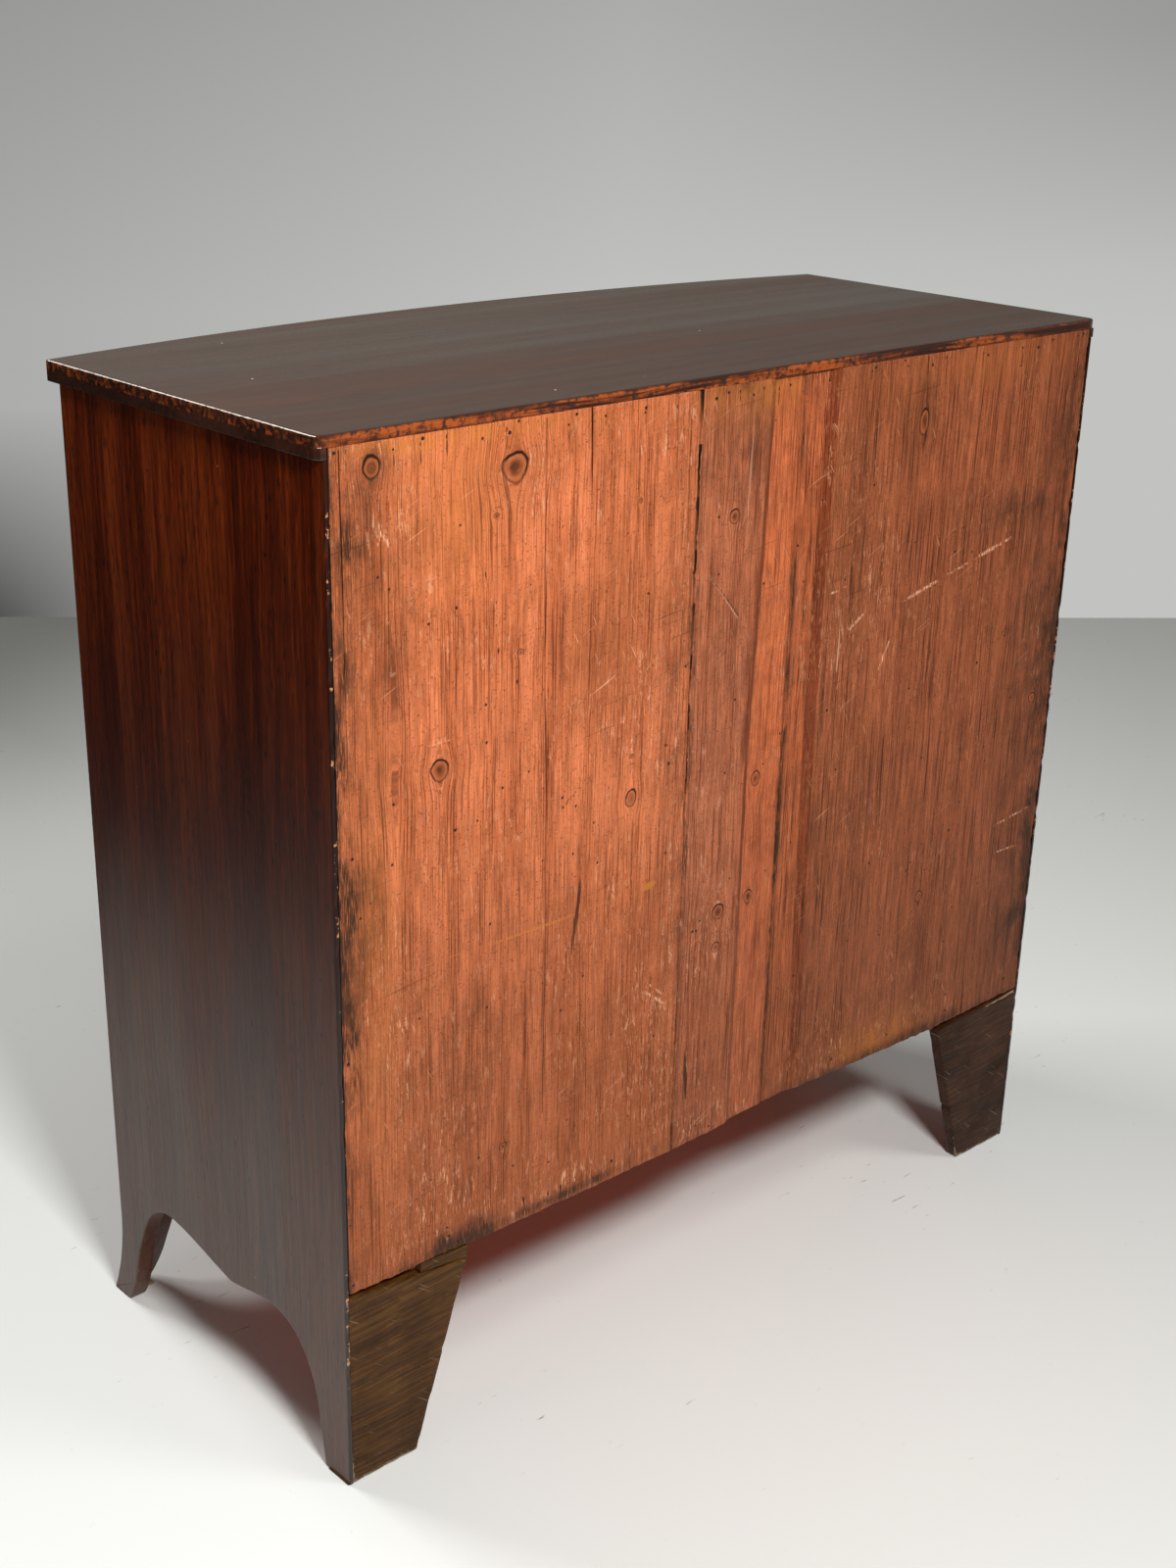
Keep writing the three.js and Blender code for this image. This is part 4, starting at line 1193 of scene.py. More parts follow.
def back_boards() -> tuple[BackBoard, ...]:
    """The three boards of the back, from right to left as seen from the front."""
    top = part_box("backboard_right")[1][2] / METRES
    right = BackBoard(
        node="backboard_right", seed=11, top=top,
        low=((216, 90.2), (1030, 93.0)), high=((216, 519.0), (1030, 519.0)),
        foot=((85, 213), (211, 214), (350, 216), (400, 219), (430, 219), (487, 220), (519, 222)),
        finish=WashedPine("washed_pine_near"),
        knots=(Knot(475, 1008, 9, 10, -0.5), Knot(319, 988, 14, 13), Knot(405, 727, 10, 10), Knot(167, 641, 7, 9),
               Knot(341, 948, 3, 2.5), Knot(312, 819, 4, 3), Knot(167, 936, 3, 2.5), Knot(168, 685, 3.5, 2.5),
               Knot(328, 311, 5, 4), Knot(455, 765, 7, 48, 0.0)),
        cuts=(*of_kinds(
            Cut, crack=((((284, 1027), (282.5, 900), (281, 780), (278, 683), (277, 560)), 0.95, 1.4),
                (((276, 330), (277, 590)), 0.7, 0.6), (((230, 1028), (228.5, 985), (227, 937)), 1.5, 3.6),
                (((507, 1026), (506, 900), (505.5, 740)), 0.7, 1.6),
                (((306, 900), (304, 640), (303, 330)), 0.25, 0.4), (((200, 930), (201, 860)), 0.3, 0.4),
                (((353, 901), (349, 879)), 0.8, 0.8), (((340, 871), (340, 868)), 0.9, 0.8),
                (((340, 850), (340, 847)), 1.0, 0.8), (((337.5, 827), (337.5, 818)), 1.3, 1.0),
                (((315.3, 793), (315, 786)), 1.1, 1.0), (((300, 240), (297, 221)), 0.9, 1.2),
                (((250, 236), (249, 215)), 0.7, 1.0), (((518.6, 1029), (518.4, 600)), 1.1),
                (((518.5, 222), (518.4, 640)), 1.2), (((518.5, 830), (518.4, 300)), 1.1)),
            scar=((((230, 577), (236, 535), (242, 494)), 2.6, 0.5), (((265, 647), (235, 670)), 1.2, 0.2)),
            scratch=((((370, 607), (362, 574)), 1.0, 0.1), (((140, 422), (109, 397)), 1.2, 0.1),
                (((136, 430), (112, 409)), 0.7, 0.1), (((425, 904), (393, 905)), 0.4, 0.0),
                (((418, 753), (359, 755)), 0.35, 0.0), (((466, 953), (458, 940)), 1.8, 0.1)),
            stain=((((428, 540), (300, 537), (134, 539)), 1.1, 0.1), (((150, 538), (128, 541)), 3.4, 0.1))),
            *edge_cracks(92.6, 1029, 560, 1.0),
            *nail_runs(1024, (500, 452, 424, 396, 330, 258, 214, 165, 124), 3)),
        patches=of_kinds(
            Patch, soil=((514, 640, 28, 440, 0.66), (500, 960, 30, 70, 0.6), (470, 840, 30, 120, 0.4),
                (519, 300, 14, 200, 0.5), (384, 221, 50, 20, 1.3), (519, 620, 5, 600, 1.0),
                (420, 216, 60, 12, 0.9), (300, 222, 200, 7, 0.7), (475, 1008, 22, 18, 0.6),
                (480, 700, 18, 200, 0.4), (319, 985, 30, 30, 0.15), (95, 640, 3.5, 420, 0.55),
                (110, 700, 26, 300, 0.35), (380, 420, 120, 160, 0.22)),
            worn=((104, 620, 14, 360, 0.7), (160, 700, 50, 120, 0.4), (300, 960, 40, 30, 0.5),
                (455, 955, 30, 40, 0.6), (300, 225, 220, 26, 0.6), (120, 660, 20, 60, 0.7),
                (470, 1024, 50, 6, 0.8), (130, 400, 40, 60, 0.4), (462, 470, 36, 130, 0.55),
                (420, 300, 40, 60, 0.5)),
            ochre=((400, 1022, 140, 9, 0.5), (480, 560, 26, 200, 0.3), (380, 980, 60, 90, 0.2))))
    middle = BackBoard(node="backboard_middle", seed=23, top=top, low=((216, -54.6), (1030, -50.9)),
                       high=((216, 89.3), (600, 90.2), (1030, 90.6)), foot=((-57, 217), (0, 215), (40, 214), (91, 213)),
                       finish=WashedPine("washed_pine_middle", ground=0xAE6543, deep=0x9A5233, brown=0x86492A,
                                         pale=0xD39A7C, ochre=0xA8622A, lines=1.0, rubbed=0.6, strands=(0.5, 1.54),
                                         shift=3.0), hollow=((-60, 4.0), (-11, 4.0), (-2.5, 0.0), (100, 0.0)),
                       drift=((216, 9.0), (660, 9.0), (850, 2.0), (1030, -2.5)),
                       knots=(Knot(40, 902, 6, 7), Knot(35, 481, 8, 9), Knot(-16, 616, 6, 8), Knot(-14, 483, 6, 8),
                              Knot(36, 440, 6, 6)),
                       cuts=(*of_kinds(Cut,
                                       scar=((((75, 852), (50, 826), (22, 794)), 0.8, 0.2),
                                             (((76, 330), (70, 270)), 2.2, 0.4)),
                                       scratch=((((73, 850), (48, 823), (24, 793)), 0.5, 0.1),
                                                (((20, 1010), (21, 900)), 0.1, 0.1)),
                                       crack=((((60, 1028), (60, 1000)), 0.5, 0.6),)),
                             *edge_cracks(90.2, 1029, 620, 0.9), *nail_runs(1024, (74, 56, 41, 22, 8, -18, -34), 5)),
                       patches=of_kinds(Patch, ochre=((30, 1026, 90, 30, 0.9),),
                                        soil=((88, 640, 4, 360, 0.6), (-54, 400, 3.2, 420, 1.1),
                                              (40, 740, 40, 120, 0.3), (30, 1030, 60, 14, 0.5), (30, 970, 70, 70, 0.4)),
                                        worn=((60, 560, 30, 120, 0.5), (50, 470, 40, 60, 0.6), (60, 240, 60, 30, 0.5))))
    # The far board's darker wash is partly painted shade, where the light falls off away from the lamps
    left = BackBoard(node="backboard_left", seed=37, top=top, low=((216, -519.0), (1030, -519.0)),
                     high=((216, -55.8), (1030, -52.2)),
                     foot=((-519, 214), (-349, 211), (-240, 214), (-113, 218), (-57, 217.5)),
                     finish=WashedPine("washed_pine_far_shaded", ground=0x9E5634, deep=0x884628, brown=0x774022, line=0x4C210E,
                                       pale=0xC88C66, ochre=0x9C5A26, channel=0xAE5A33, lines=1.2, rubbed=0.55,
                                       strands=(0.5, 1.54), shift=7.0),
                     hollow=((-520, 0.0), (-105, 0.0), (-90, 4.0), (-50, 4.0)),
                     drift=((216, -6.0), (637, 4.5), (820, 5.0), (1030, 1.0)),
                     knots=(Knot(-240, 960, 7, 14, -0.3), Knot(-485, 606, 6, 6), Knot(-303, 401, 6, 7),
                            Knot(-419, 699, 4.5, 3.5, -0.2)),
                     cuts=(*of_kinds(Cut,
                                     crack=((((-239, 1028), (-241, 990), (-243, 940), (-243.5, 880)), 0.8, 1.6),
                                            (((-460, 1000), (-461, 880)), 0.3, 0.3),
                                            (((-409, 214), (-408, 250), (-406, 330)), 0.7, 1.3),
                                            (((-457, 214), (-461, 235), (-466, 262)), 0.5, 0.8),
                                            (((-300, 214), (-301, 262)), 0.4, 0.6)),
                                     scratch=((((-228, 769), (-290, 783)), 1.7, 0.1),
                                              (((-300, 786), (-352, 796)), 0.8, 0.1),
                                              (((-352, 797), (-412, 810)), 1.6, 0.1),
                                              (((-142, 753), (-169, 769)), 1.5, 0.1),
                                              (((-195, 696), (-217, 739)), 1.2, 0.1),
                                              (((-107, 798), (-134, 802)), 0.7, 0.0),
                                              (((-129, 793), (-128, 710)), 0.6, 0.0),
                                              (((-436, 455), (-504, 463)), 1.0, 0.0),
                                              (((-442, 419), (-493, 416)), 0.8, 0.0)),
                                     scar=((((-252, 617), (-284, 625)), 1.0, 0.4),
                                           (((-268, 827), (-358, 840)), 0.7, 0.1),
                                           (((-347, 677), (-411, 695)), 0.7, 0.1))),
                           *nail_runs(1024, (-72, -90, -150, -206, -268, -330, -398, -452, -498), 8)),
                     # Its soil patches towards the far edge are partly painted shade
                     patches=of_kinds(Patch,
                                      soil=((-440, 845, 70, 21, 0.55), (-519, 620, 34, 500, 0.95),
                                            (-495, 325, 22, 28, 0.9), (-56, 620, 3, 600, 0.9),
                                            (-480, 640, 60, 400, 0.42), (-500, 360, 70, 200, 0.5),
                                            (-300, 216, 220, 9, 0.8), (-240, 960, 16, 40, 0.5),
                                            (-419, 699, 12, 10, 0.6), (-500, 870, 26, 120, 0.5)),
                                      ochre=((-240, 232, 70, 24, 1.1), (-350, 1010, 120, 20, 0.4)),
                                      worn=((-230, 240, 140, 26, 0.5), (-160, 760, 70, 80, 0.5),
                                            (-480, 680, 30, 60, 0.6))))
    return right, middle, left


@dataclass(frozen=True)
class CaseSide:
    """A side of the case, with its shaped lower edge, splayed front foot and rear lip."""

    hand: Hand
    finish: Material
    inner: float = 503.0
    lip: float = 519.3
    outer: float = 523.0
    top: float = 1020.0
    rebate: float = 14.3
    toe: float = 413.0
    arris: float = 1.1

    def outline(self, rear: float) -> np.ndarray:
        """Outline in reach and height, from a rear edge at some reach."""
        edge = [(41.0, 0.0), (48.0, 42.0)]
        edge += curve(edge[-1], (127, 146), ((0.03, 0.52), (0.34, 1)))
        edge += curve(edge[-1], (201, 134), ((0.32, 0), (0.6, 0.7)))
        edge += curve(edge[-1], (314, 155), ((0.35, 0.32), (0.74, 1)))
        edge += curve(edge[-1], (390, 59), ((0.5, 0), (0.75, 0.34)))
        edge += curve(edge[-1], (self.toe, 0), ((0.4, 0.67),), 12)
        heights = np.linspace(0, BOW.flare_height, 20)
        front = [(BOW.end + float(BOW.splay(z)), z) for z in heights]
        return dense([(rear, 0), *edge, *front, (BOW.end, self.top), (rear, self.top)], 6.0)

    def build(self) -> Piece:
        """Builds the side and stands it in for its CAD node."""
        sign = self.hand.value
        shell = Shell()

        def place(reach: np.ndarray, z: np.ndarray, across: np.ndarray) -> np.ndarray:
            """Sets the front edge back along the bow."""
            share = np.clip((reach - self.toe) / 6, 0, 1)
            return np.stack([sign * across, reach + share * (BOW.reach(across) - BOW.end), z], 1)

        outer = self.outline(0.0)
        rear = outer[:, 0] < 0.01
        z = outer[:, 1]
        loss = np.clip(rough(z / 11, z * 0, 5 + sign) + 0.6 * rough(z / 5, z * 0, 8) - 0.35, 0, 1)
        outer[:, 0] += np.where(rear, 1.6 * loss, 0)
        plate(shell, outer, self.lip, self.outer, place, (0.0, self.arris))
        points = shell.points[-1]
        near = np.clip(1 - points[:, 1] / 2.6, 0, 1)
        worn = shell.marks["arris"][0][1] * np.where(points[:, 1] < 4, 0.7, 0.9)
        shell.tell(chip=0.75 * near * np.clip(0.6 + rough(points[:, 2] / 40, near * 0, 14), 0, 1),
                   soot=np.clip(1.6 * near, 0, 1), arris=worn)
        plate(shell, self.outline(self.rebate), self.inner, self.lip, place, (self.arris, 0.0), arris=0.0)
        name = "side_" + self.hand.name.lower()
        return shell.piece(name + "_panel", CASE, "mahogany", self.finish, (name,))


@dataclass(frozen=True)
class TopBoard:
    """The top, bowed in front, with rubbed arrises whose side ones carry a painted highlight, a painted rear edge and
    worn rear corners.
    """

    finish: Material
    half: float = 529.0
    end: float = 431.0
    low: float = 1020.0
    lip: float = 1030.0
    high: float = 1040.0
    rebate: float = 14.3
    rebate_half: float = 519.3
    arris: float = 1.6

    def outline(self) -> list[tuple[float, float]]:
        """Outline in x and reach."""
        bow = Bow(self.half, self.end, BOW.rise)
        return [(self.half, 0), *bow.front_line(-self.half, self.half, 120), (-self.half, 0)]

    def build(self) -> Piece:
        """Builds the top and stands it in for its CAD node."""
        shell = Shell()
        line = dense([(-self.half, 0), *self.outline()[:-1]], 5.0)
        x, reach = line.T.copy()
        sides = reach > 0.01
        wave = 0.35 * np.clip(rough(x / 23, reach / 23, 3) + 0.5 * rough(x / 7, reach / 7, 4), 0, 1)
        for corner, loss, spread in ((self.half, 3.2, 5), (-self.half, 3.0, 6)):
            wave = wave + loss * np.exp(-np.square(np.hypot(x - corner, reach) / spread))
        line = worn_away(line, wave)
        plate(shell, line, self.lip, self.high, lying, (0.0, self.arris))
        points = shell.points[-1]
        rear = np.clip(1 - points[:, 1] / 2.5, 0, 1)
        near = np.exp(-np.square(np.hypot(np.abs(points[:, 0]) - self.half, points[:, 1]) / 7))
        side = (np.abs(points[:, 0]) > self.half - 0.5) & (points[:, 2] < self.high - 1.0)
        worn = shell.marks["arris"][0][1]
        # Along the side arrises the pale rubbed colour is pushed to a strong near-white line: partly wear, partly a
        # painted highlight
        side_arris_highlight = (np.abs(points[:, 0]) > self.half - 3) & (points[:, 1] < 430)
        edge = np.where(side_arris_highlight, np.where(worn > 0.9, 1.8, 0.3), 0.85 * worn)
        shell.tell(paint=np.maximum.reduce([1.5 * rear, 1.3 * side, 2.2 * near]),
                   chip=np.where(points[:, 2] < self.high - 1.2, np.maximum(near * 1.2, 0.5 * rear), 0.0),
                   arris=np.where(points[:, 1] < 3, 0.5 * worn, edge))
        half = self.rebate_half
        lower = np.vstack([[(half, self.rebate), (half, 0.3), (self.half - 4, 0.3)], line[sides],
                           [(-self.half + 4, 0.3), (-half, 0.3), (-half, self.rebate)]])
        plate(shell, lower, self.low, self.lip, lying, (0.8, 0.0), arris=0.0)
        return shell.piece("top_polished", CASE, "mahogany", self.finish, ("top_board",))


@dataclass(frozen=True)
class RearFeet:
    """Bracket feet of the rear, and what is packed around the feet."""

    right: Material
    left: Material
    pine: Material
    dark: Material
    thickness: float = 14.0
    sound: float = 517.0
    scuffed: float = 45.0

    def build(self) -> None:
        """Builds both feet, the packing and the shims."""
        shapes = {
            Hand.RIGHT: ([(439, 0), (519, 0), (519, 217), (432, 207), (374, 200.5)], self.right),
            Hand.LEFT: ([(-519, 2), (-516, 0), (-431, 0), (-365, 204), (-377, 205), (-519, 213)], self.left),
        }
        for hand, (corners, finish) in shapes.items():
            name = "rear_foot_" + hand.name.lower()
            shell = Shell()
            line = dense(corners, 5.0)
            u, v = line.T
            nicks = np.clip(rough(u / 9, v / 9, 40 + hand.value) - 0.1, 0, 1) * (1.4 if hand is Hand.RIGHT else 2.2)
            plate(shell, worn_away(line, nicks * (np.abs(u) < self.sound)), 0.2, self.thickness, standing, (1.2, 1.0))
            shell.tell(scuff=0.75 * np.clip(1 - shell.points[-1][:, 2] / self.scuffed, 0, 1))
            shell.piece(name + "_bracket", CASE, "stained_oak", finish, (name,))
        self.strips()

    def strips(self) -> None:
        """The packing over the near foot, the splinter on the far one and the shims below."""
        pine, dark = (self.pine, "plain_pine"), (self.dark, "stained_oak")
        for name, corners, low, high, place, (finish, slot) in (
                ("front_foot_shim", oblong(487, 421, 523, 443), 0.0, 2.2, lying, pine),
                ("rear_foot_shim", [(505, 1), (524.4, 1), (524.4, 34), (505, 30)], 0.0, 1.2, lying, dark),
                ("packing_sliver", [(373.5, 201.5), (432, 208), (431, 218.5), (372, 214.5)], 1.2, 9, standing, dark),
                ("foot_splinter", [(-516, 207.5), (-462, 205), (-458, 206.5), (-514, 211)], -0.3, 5, standing, pine)):
            shell = Shell()
            if place is lying:
                plate(shell, dense(corners, 4.0), low, high, place, (0.0, 0.4))
            else:
                line = dense(corners, 6.0)
                loss = np.clip(rough(line[:, 0] / 7, line[:, 1], 9), 0, 1)
                plate(shell, worn_away(line, loss), low, high, place, (0.5, 0.3))
            shell.piece(name, CASE, slot, finish)


@dataclass(frozen=True)
class FrontFrame:
    """Rails, base, divider and apron of the front, with a true curve in place of facets."""

    finish: Material
    apron_finish: Material
    wash: Material
    inner: float = 503.0
    rail_back: float = 370.0
    rebate: float = 14.3
    divider_half: float = 9.0
    divider_depth: float = 50.0
    apron_top: float = 216.0
    thickness: float = 20.0
    wash_heights: tuple[float, float] = (215.2, 216.1)
    arris: float = 0.7
    pitch: float = 9.0

    def bar(self, node: str, low: float, high: float, near: float) -> Piece:
        """Builds a bowed board in the box of its CAD node.

        Args:
            node: the CAD node.
            low: least x.
            high: greatest x.
            near: reach of its rear edge.

        Returns:
            The new piece.
        """
        shell = Shell()
        steps = 96 if high - low > 100 else 6
        line = np.array([(low, near), (high, near), *BOW.front_line(low, high, steps)])
        plate(shell, line, *heights_of(node), lying, (self.arris, self.arris))
        return shell.piece(node + "_bowed", CASE, "mahogany", self.finish, (node,))

    def apron(self) -> Piece:
        """Builds the shaped apron with the facings of the front feet."""
        half = [(90.0, 128.0)]
        half += curve(half[0], (self.inner - 112, 155), ((0.35, 0), (0.65, 1)))
        half += curve(half[-1], (self.inner - 33, 59), ((0.5, 0), (0.75, 0.34)))
        half += curve(half[-1], (self.inner - 12, 0), ((0.4, 0.67),), 12)
        edge = [(-x, z) for x, z in half[::-1]] + half
        top = self.apron_top
        line = dense([*edge, (self.inner, 0), (self.inner, top), (-self.inner, top), (-self.inner, 0)], self.pitch)
        shell = Shell()

        def place(x: np.ndarray, z: np.ndarray, inset: np.ndarray) -> np.ndarray:
            """Bends the outline round the bow and out over the feet."""
            return np.stack([x, BOW.reach(x, inset) + BOW.splay(z), z], 1)

        plate(shell, line, 0.0, self.thickness, place, (0.9, 0.7), pitch=self.pitch)
        return shell.piece("front_apron_shaped", CASE, "mahogany", self.apron_finish, ("front_apron",))

    def build(self) -> None:
        """Builds all of them."""
        for node in ("top_rail", "drawer_rail_upper", "drawer_rail_middle", "drawer_rail_lower"):
            self.bar(node, -self.inner, self.inner, self.rail_back)
        self.bar("base_board", -self.inner, self.inner, self.rebate)
        self.bar("centre_divider", -self.divider_half, self.divider_half, float(BOW.reach(0.0)) - self.divider_depth)
        self.apron()
        shell = Shell()
        half, rear = self.inner - 0.7, self.rebate + 0.3
        front = [(x, reach - self.thickness - 0.6) for x, reach in BOW.front_line(-half, half, 48)]
        plate(shell, np.array([(-half, rear), (half, rear), *front]), *self.wash_heights, lying, (0.2, 0.0))
        shell.piece("base_wash", CASE, "washed_pine", self.wash)


@dataclass(frozen=True)
class Drawer:
    """A drawer's veneered face, its cockbead, escutcheon and handles."""

    prefix: str
    low: float
    high: float
    handles: tuple[float, ...]
    finish: Material
    brass: Material
    bead: Material
    hole_shade: Material
    iron: Material
    rods: Tree
    studs: Tree
    veneer: float = 0.8
    bead_radius: float = 1.3
    pitch: float = 11.0
    plate_half: tuple[float, float] = (46.0, 30.0)
    post: float = 32.0
    grip: float = 2.0
    grip_out: float = 10.4
    nut: tuple[float, float] = (7.5, 3.2)
    nut_out: float = -26.5
    keyhole: tuple[float, float] = (4.2, 13.0)
    keyhole_drop: float = 24.0

    @property
    def heights(self) -> tuple[float, float]:
        """Lowest and highest point of the drawer front."""
        return heights_of(self.prefix + "_front")

    def face(self) -> None:
        """Lays the veneer over the front, with its cockbead round the edge."""
        bottom, top = self.heights
        shell = Shell()
        line = dense(oblong(self.low, bottom, self.high, top), self.pitch)

        def place(x: np.ndarray, z: np.ndarray, out: np.ndarray) -> np.ndarray:
            """Bends the sheet round the bow."""
            return np.stack([x, BOW.reach(x, -out), z], 1)

        plate(shell, line, -0.4, self.veneer, place, (0.0, 0.25), pitch=self.pitch)
        shell.piece(self.prefix + "_veneer", self.prefix, "mahogany", self.finish)
        inset = self.bead_radius * 0.85
        corners = dense(oblong(self.low + inset, bottom + inset, self.high - inset, top - inset), self.pitch)
        points = place(corners[:, 0], corners[:, 1], np.full(len(corners), self.veneer + 0.5))
        edges = [(i, (i + 1) % len(points)) for i in range(len(points))]
        bead = grown(self.prefix + "_cockbead", points, edges, self.rods,
                     {"Radius": self.bead_radius * METRES, "Sides": 8, "Swell": 0.0, "Finish": self.bead})
        settle(bead, self.prefix, "mahogany", self.bead)

    def on_face(self, x: float, z: float, points: np.ndarray) -> np.ndarray:
        """Turns points given as right, out and up from a place on the face into x, reach and height."""
        turn = BOW.angle(x)
        right, out, up = points.T
        reach = float(BOW.reach(x))
        return np.stack([x + right * math.cos(turn) + out * math.sin(turn),
                         reach + out * math.cos(turn) - right * math.sin(turn), z + up], 1)

    def lathe(self, profile: Line, centre: float, sides: int = 20, stretch: float = 1.0) -> tuple[np.ndarray, list]:
        """Turned or oval shape standing out from the face.

        Args:
            profile: radius and distance out of each ring.
            centre: how far right of the place its axis is.
            sides: points in a ring.
            stretch: width over height.

        Returns:
            Its points as right, out and up, and its faces.
        """
        turn = np.linspace(0, 2 * math.pi, sides, endpoint=False)
        rings = [np.stack([centre + r * stretch * np.cos(turn), np.full(sides, out), r * np.sin(turn)], 1)
                 for r, out in profile]
        faces = bands(len(rings), sides, True)
        faces += [list(range(sides)), list(range((len(rings) - 1) * sides, len(rings) * sides))]
        return np.concatenate(rings), faces

    def handle(self, index: int, x: float) -> None:
        """Builds one handle: stamped oval plate, two posts and the bail."""
        ends = {1: ("",), 2: ("_left", "_right")}[len(self.handles)]
        hand = ends[index]
        middle = sum(self.heights) / 2
        shell = Shell()
        rim = ((0.99, 0.0), (1.0, 0.5), (0.985, 1.1), (0.955, 1.35), (0.925, 1.05), (0.9, 0.85), (0.87, 1.25),
               (0.84, 1.6), (0.81, 1.25), (0.78, 1.15), (0.6, 1.6), (0.35, 1.9), (0.06, 2.0))
        width, height = self.plate_half
        rim = [(height * share, 0.3 + out) for share, out in rim]
        points, faces = self.lathe(rim, 0.0, 72, width / height)
        hollow = np.interp(points[:, 1], (0.3, 1.25, 1.7, 2.3), (1.0, 0.8, 0.1, 0.0))
        shell.add(self.on_face(x, middle, points), faces, hollow=hollow)
        post = ((1.2, -31), (2.4, -30.4), (2.4, 0.6), (6.4, 0.9), (6.6, 2.6), (5.8, 3.3), (4.2, 3.7), (3.4, 4.6),
                (3.3, 6.2), (4.4, 7.2), (5.3, 8.6), (5.6, 10.4), (5.3, 12.4), (4.2, 14.2), (2.6, 15.2), (1.0, 15.7))
        for side in (-self.post, self.post):
            points, faces = self.lathe(post, side)
            shell.add(self.on_face(x, middle, points), faces)
        shell.piece(
            f"{self.prefix}_plate{hand}", self.prefix, "brass", self.brass, (f"{self.prefix}_handle{hand}",), 40)
        half = [(29.5, 0.0), (34.5, 0.0), (38.6, -0.2), (42.2, -2.4), (44.4, -6.4), (44.6, -11.5), (43.2, -17.6),
                (39.6, -24.0), (33.5, -29.2), (25.5, -32.6), (15.5, -34.8), (6.0, -35.8)]
        line = [(-a, b) for a, b in half] + [(a, b) for a, b in half[::-1]]
        bail = np.array([(a, self.grip_out, b) for a, b in smooth_line(line, 4)])
        edges = [(i, i + 1) for i in range(len(bail) - 1)]
        rod = grown(f"{self.prefix}_grip{hand}", self.on_face(x, middle, bail), edges, self.rods,
                    {"Radius": self.grip * METRES, "Sides": 12, "Swell": 0.32, "Finish": self.brass})
        settle(rod, self.body_of_bail(hand), "brass", self.brass, (f"{self.prefix}_bail{hand}",))
        nuts = self.on_face(x, middle, np.array([(side, self.nut_out, 0.0) for side in (-self.post, self.post)]))
        radius, height = self.nut
        made = grown(f"{self.prefix}_nuts{hand}", nuts, [], self.studs, {
            "Sides": 4, "Radius": radius * METRES, "Top": 0.94, "Height": height * METRES, "Turn": quarter_turn(1),
            "Uneven": 0.06, "Seed": 3 + index, "Finish": self.iron})
        settle(made, self.prefix, "brass", self.iron)

    def body_of_bail(self, hand: str) -> str:
        """Name of the body that a bail swings on."""
        node = f"{self.prefix}_bail{hand}"
        return next(body for body, nodes in frame["record"]["behaviour"]["bodies"].items() if node in nodes)

    def escutcheon(self) -> None:
        """Sets a keyhole plate into the veneer, with a near-black plate in its hole: painted shade, as no hole is cut.
        """
        x, z = (self.low + self.high) / 2, self.heights[1] - self.keyhole_drop
        shape = keyhole_line(*self.keyhole)
        # The keyhole is a near-black plate: painted shade where the hole would be dark
        for name, grow, low, high, slot, finish in (
            ("_escutcheon", 1.9, 0.3, 1.35, "brass", self.brass), ("_keyhole", 0.0, 0.4, 1.42, "mahogany", self.hole_shade)):
            shell = Shell()
            line = offset(shape, -grow) if grow else shape
            plate(shell, line, low, high, lambda u, v, w: self.on_face(x, z, np.stack([u, w, v], 1)), (0.0, 0.2))
            shell.piece(self.prefix + name, self.prefix, slot, finish)

    def build(self) -> None:
        """Builds everything that the drawer's front carries."""
        self.face()
        self.escutcheon()
        for index, x in enumerate(self.handles):
            self.handle(index, x)
        log.info("%s built, from %.0f to %.0f mm", self.prefix, *self.heights)


def quarter_turn(way: int) -> Euler:
    """Turns a stud from upright to the rear, or to the front for a negative way."""
    return Matrix.Rotation(math.radians(90 * way), 3, "X").to_euler()


def keyhole_line(radius: float, length: float) -> np.ndarray:
    """Outline of a keyhole: a round head over a tapered slot.

    Args:
        radius: radius of the head.
        length: from the head's centre to the foot of the slot.

    Returns:
        The outline, counter-clockwise.
    """
    turns = np.radians(np.linspace(-62, 242, 26))
    head = [(radius * math.cos(t), radius * math.sin(t)) for t in turns]
    return dense([(-2.6, -length), (2.6, -length), *head], 1.5)


def smooth_line(line: Line, steps: int) -> list[tuple[float, float]]:
    """Passes a smooth curve through points.

    Args:
        line: the points.
        steps: new points for each span.

    Returns:
        The points of the curve.
    """
    p = np.asarray([line[0], *line, line[-1]], float)
    found = []
    for a, b, c, d in zip(p, p[1:], p[2:], p[3:]):
        for t in np.arange(steps) / steps:
            found.append(
                tuple(0.5 * (2 * b + (c - a) * t + (2 * a - 5 * b + 4 * c - d) * t**2 + (3 * b - a - 3 * c + d)
                             * t**3)))
    return [*found, tuple(p[-1])]


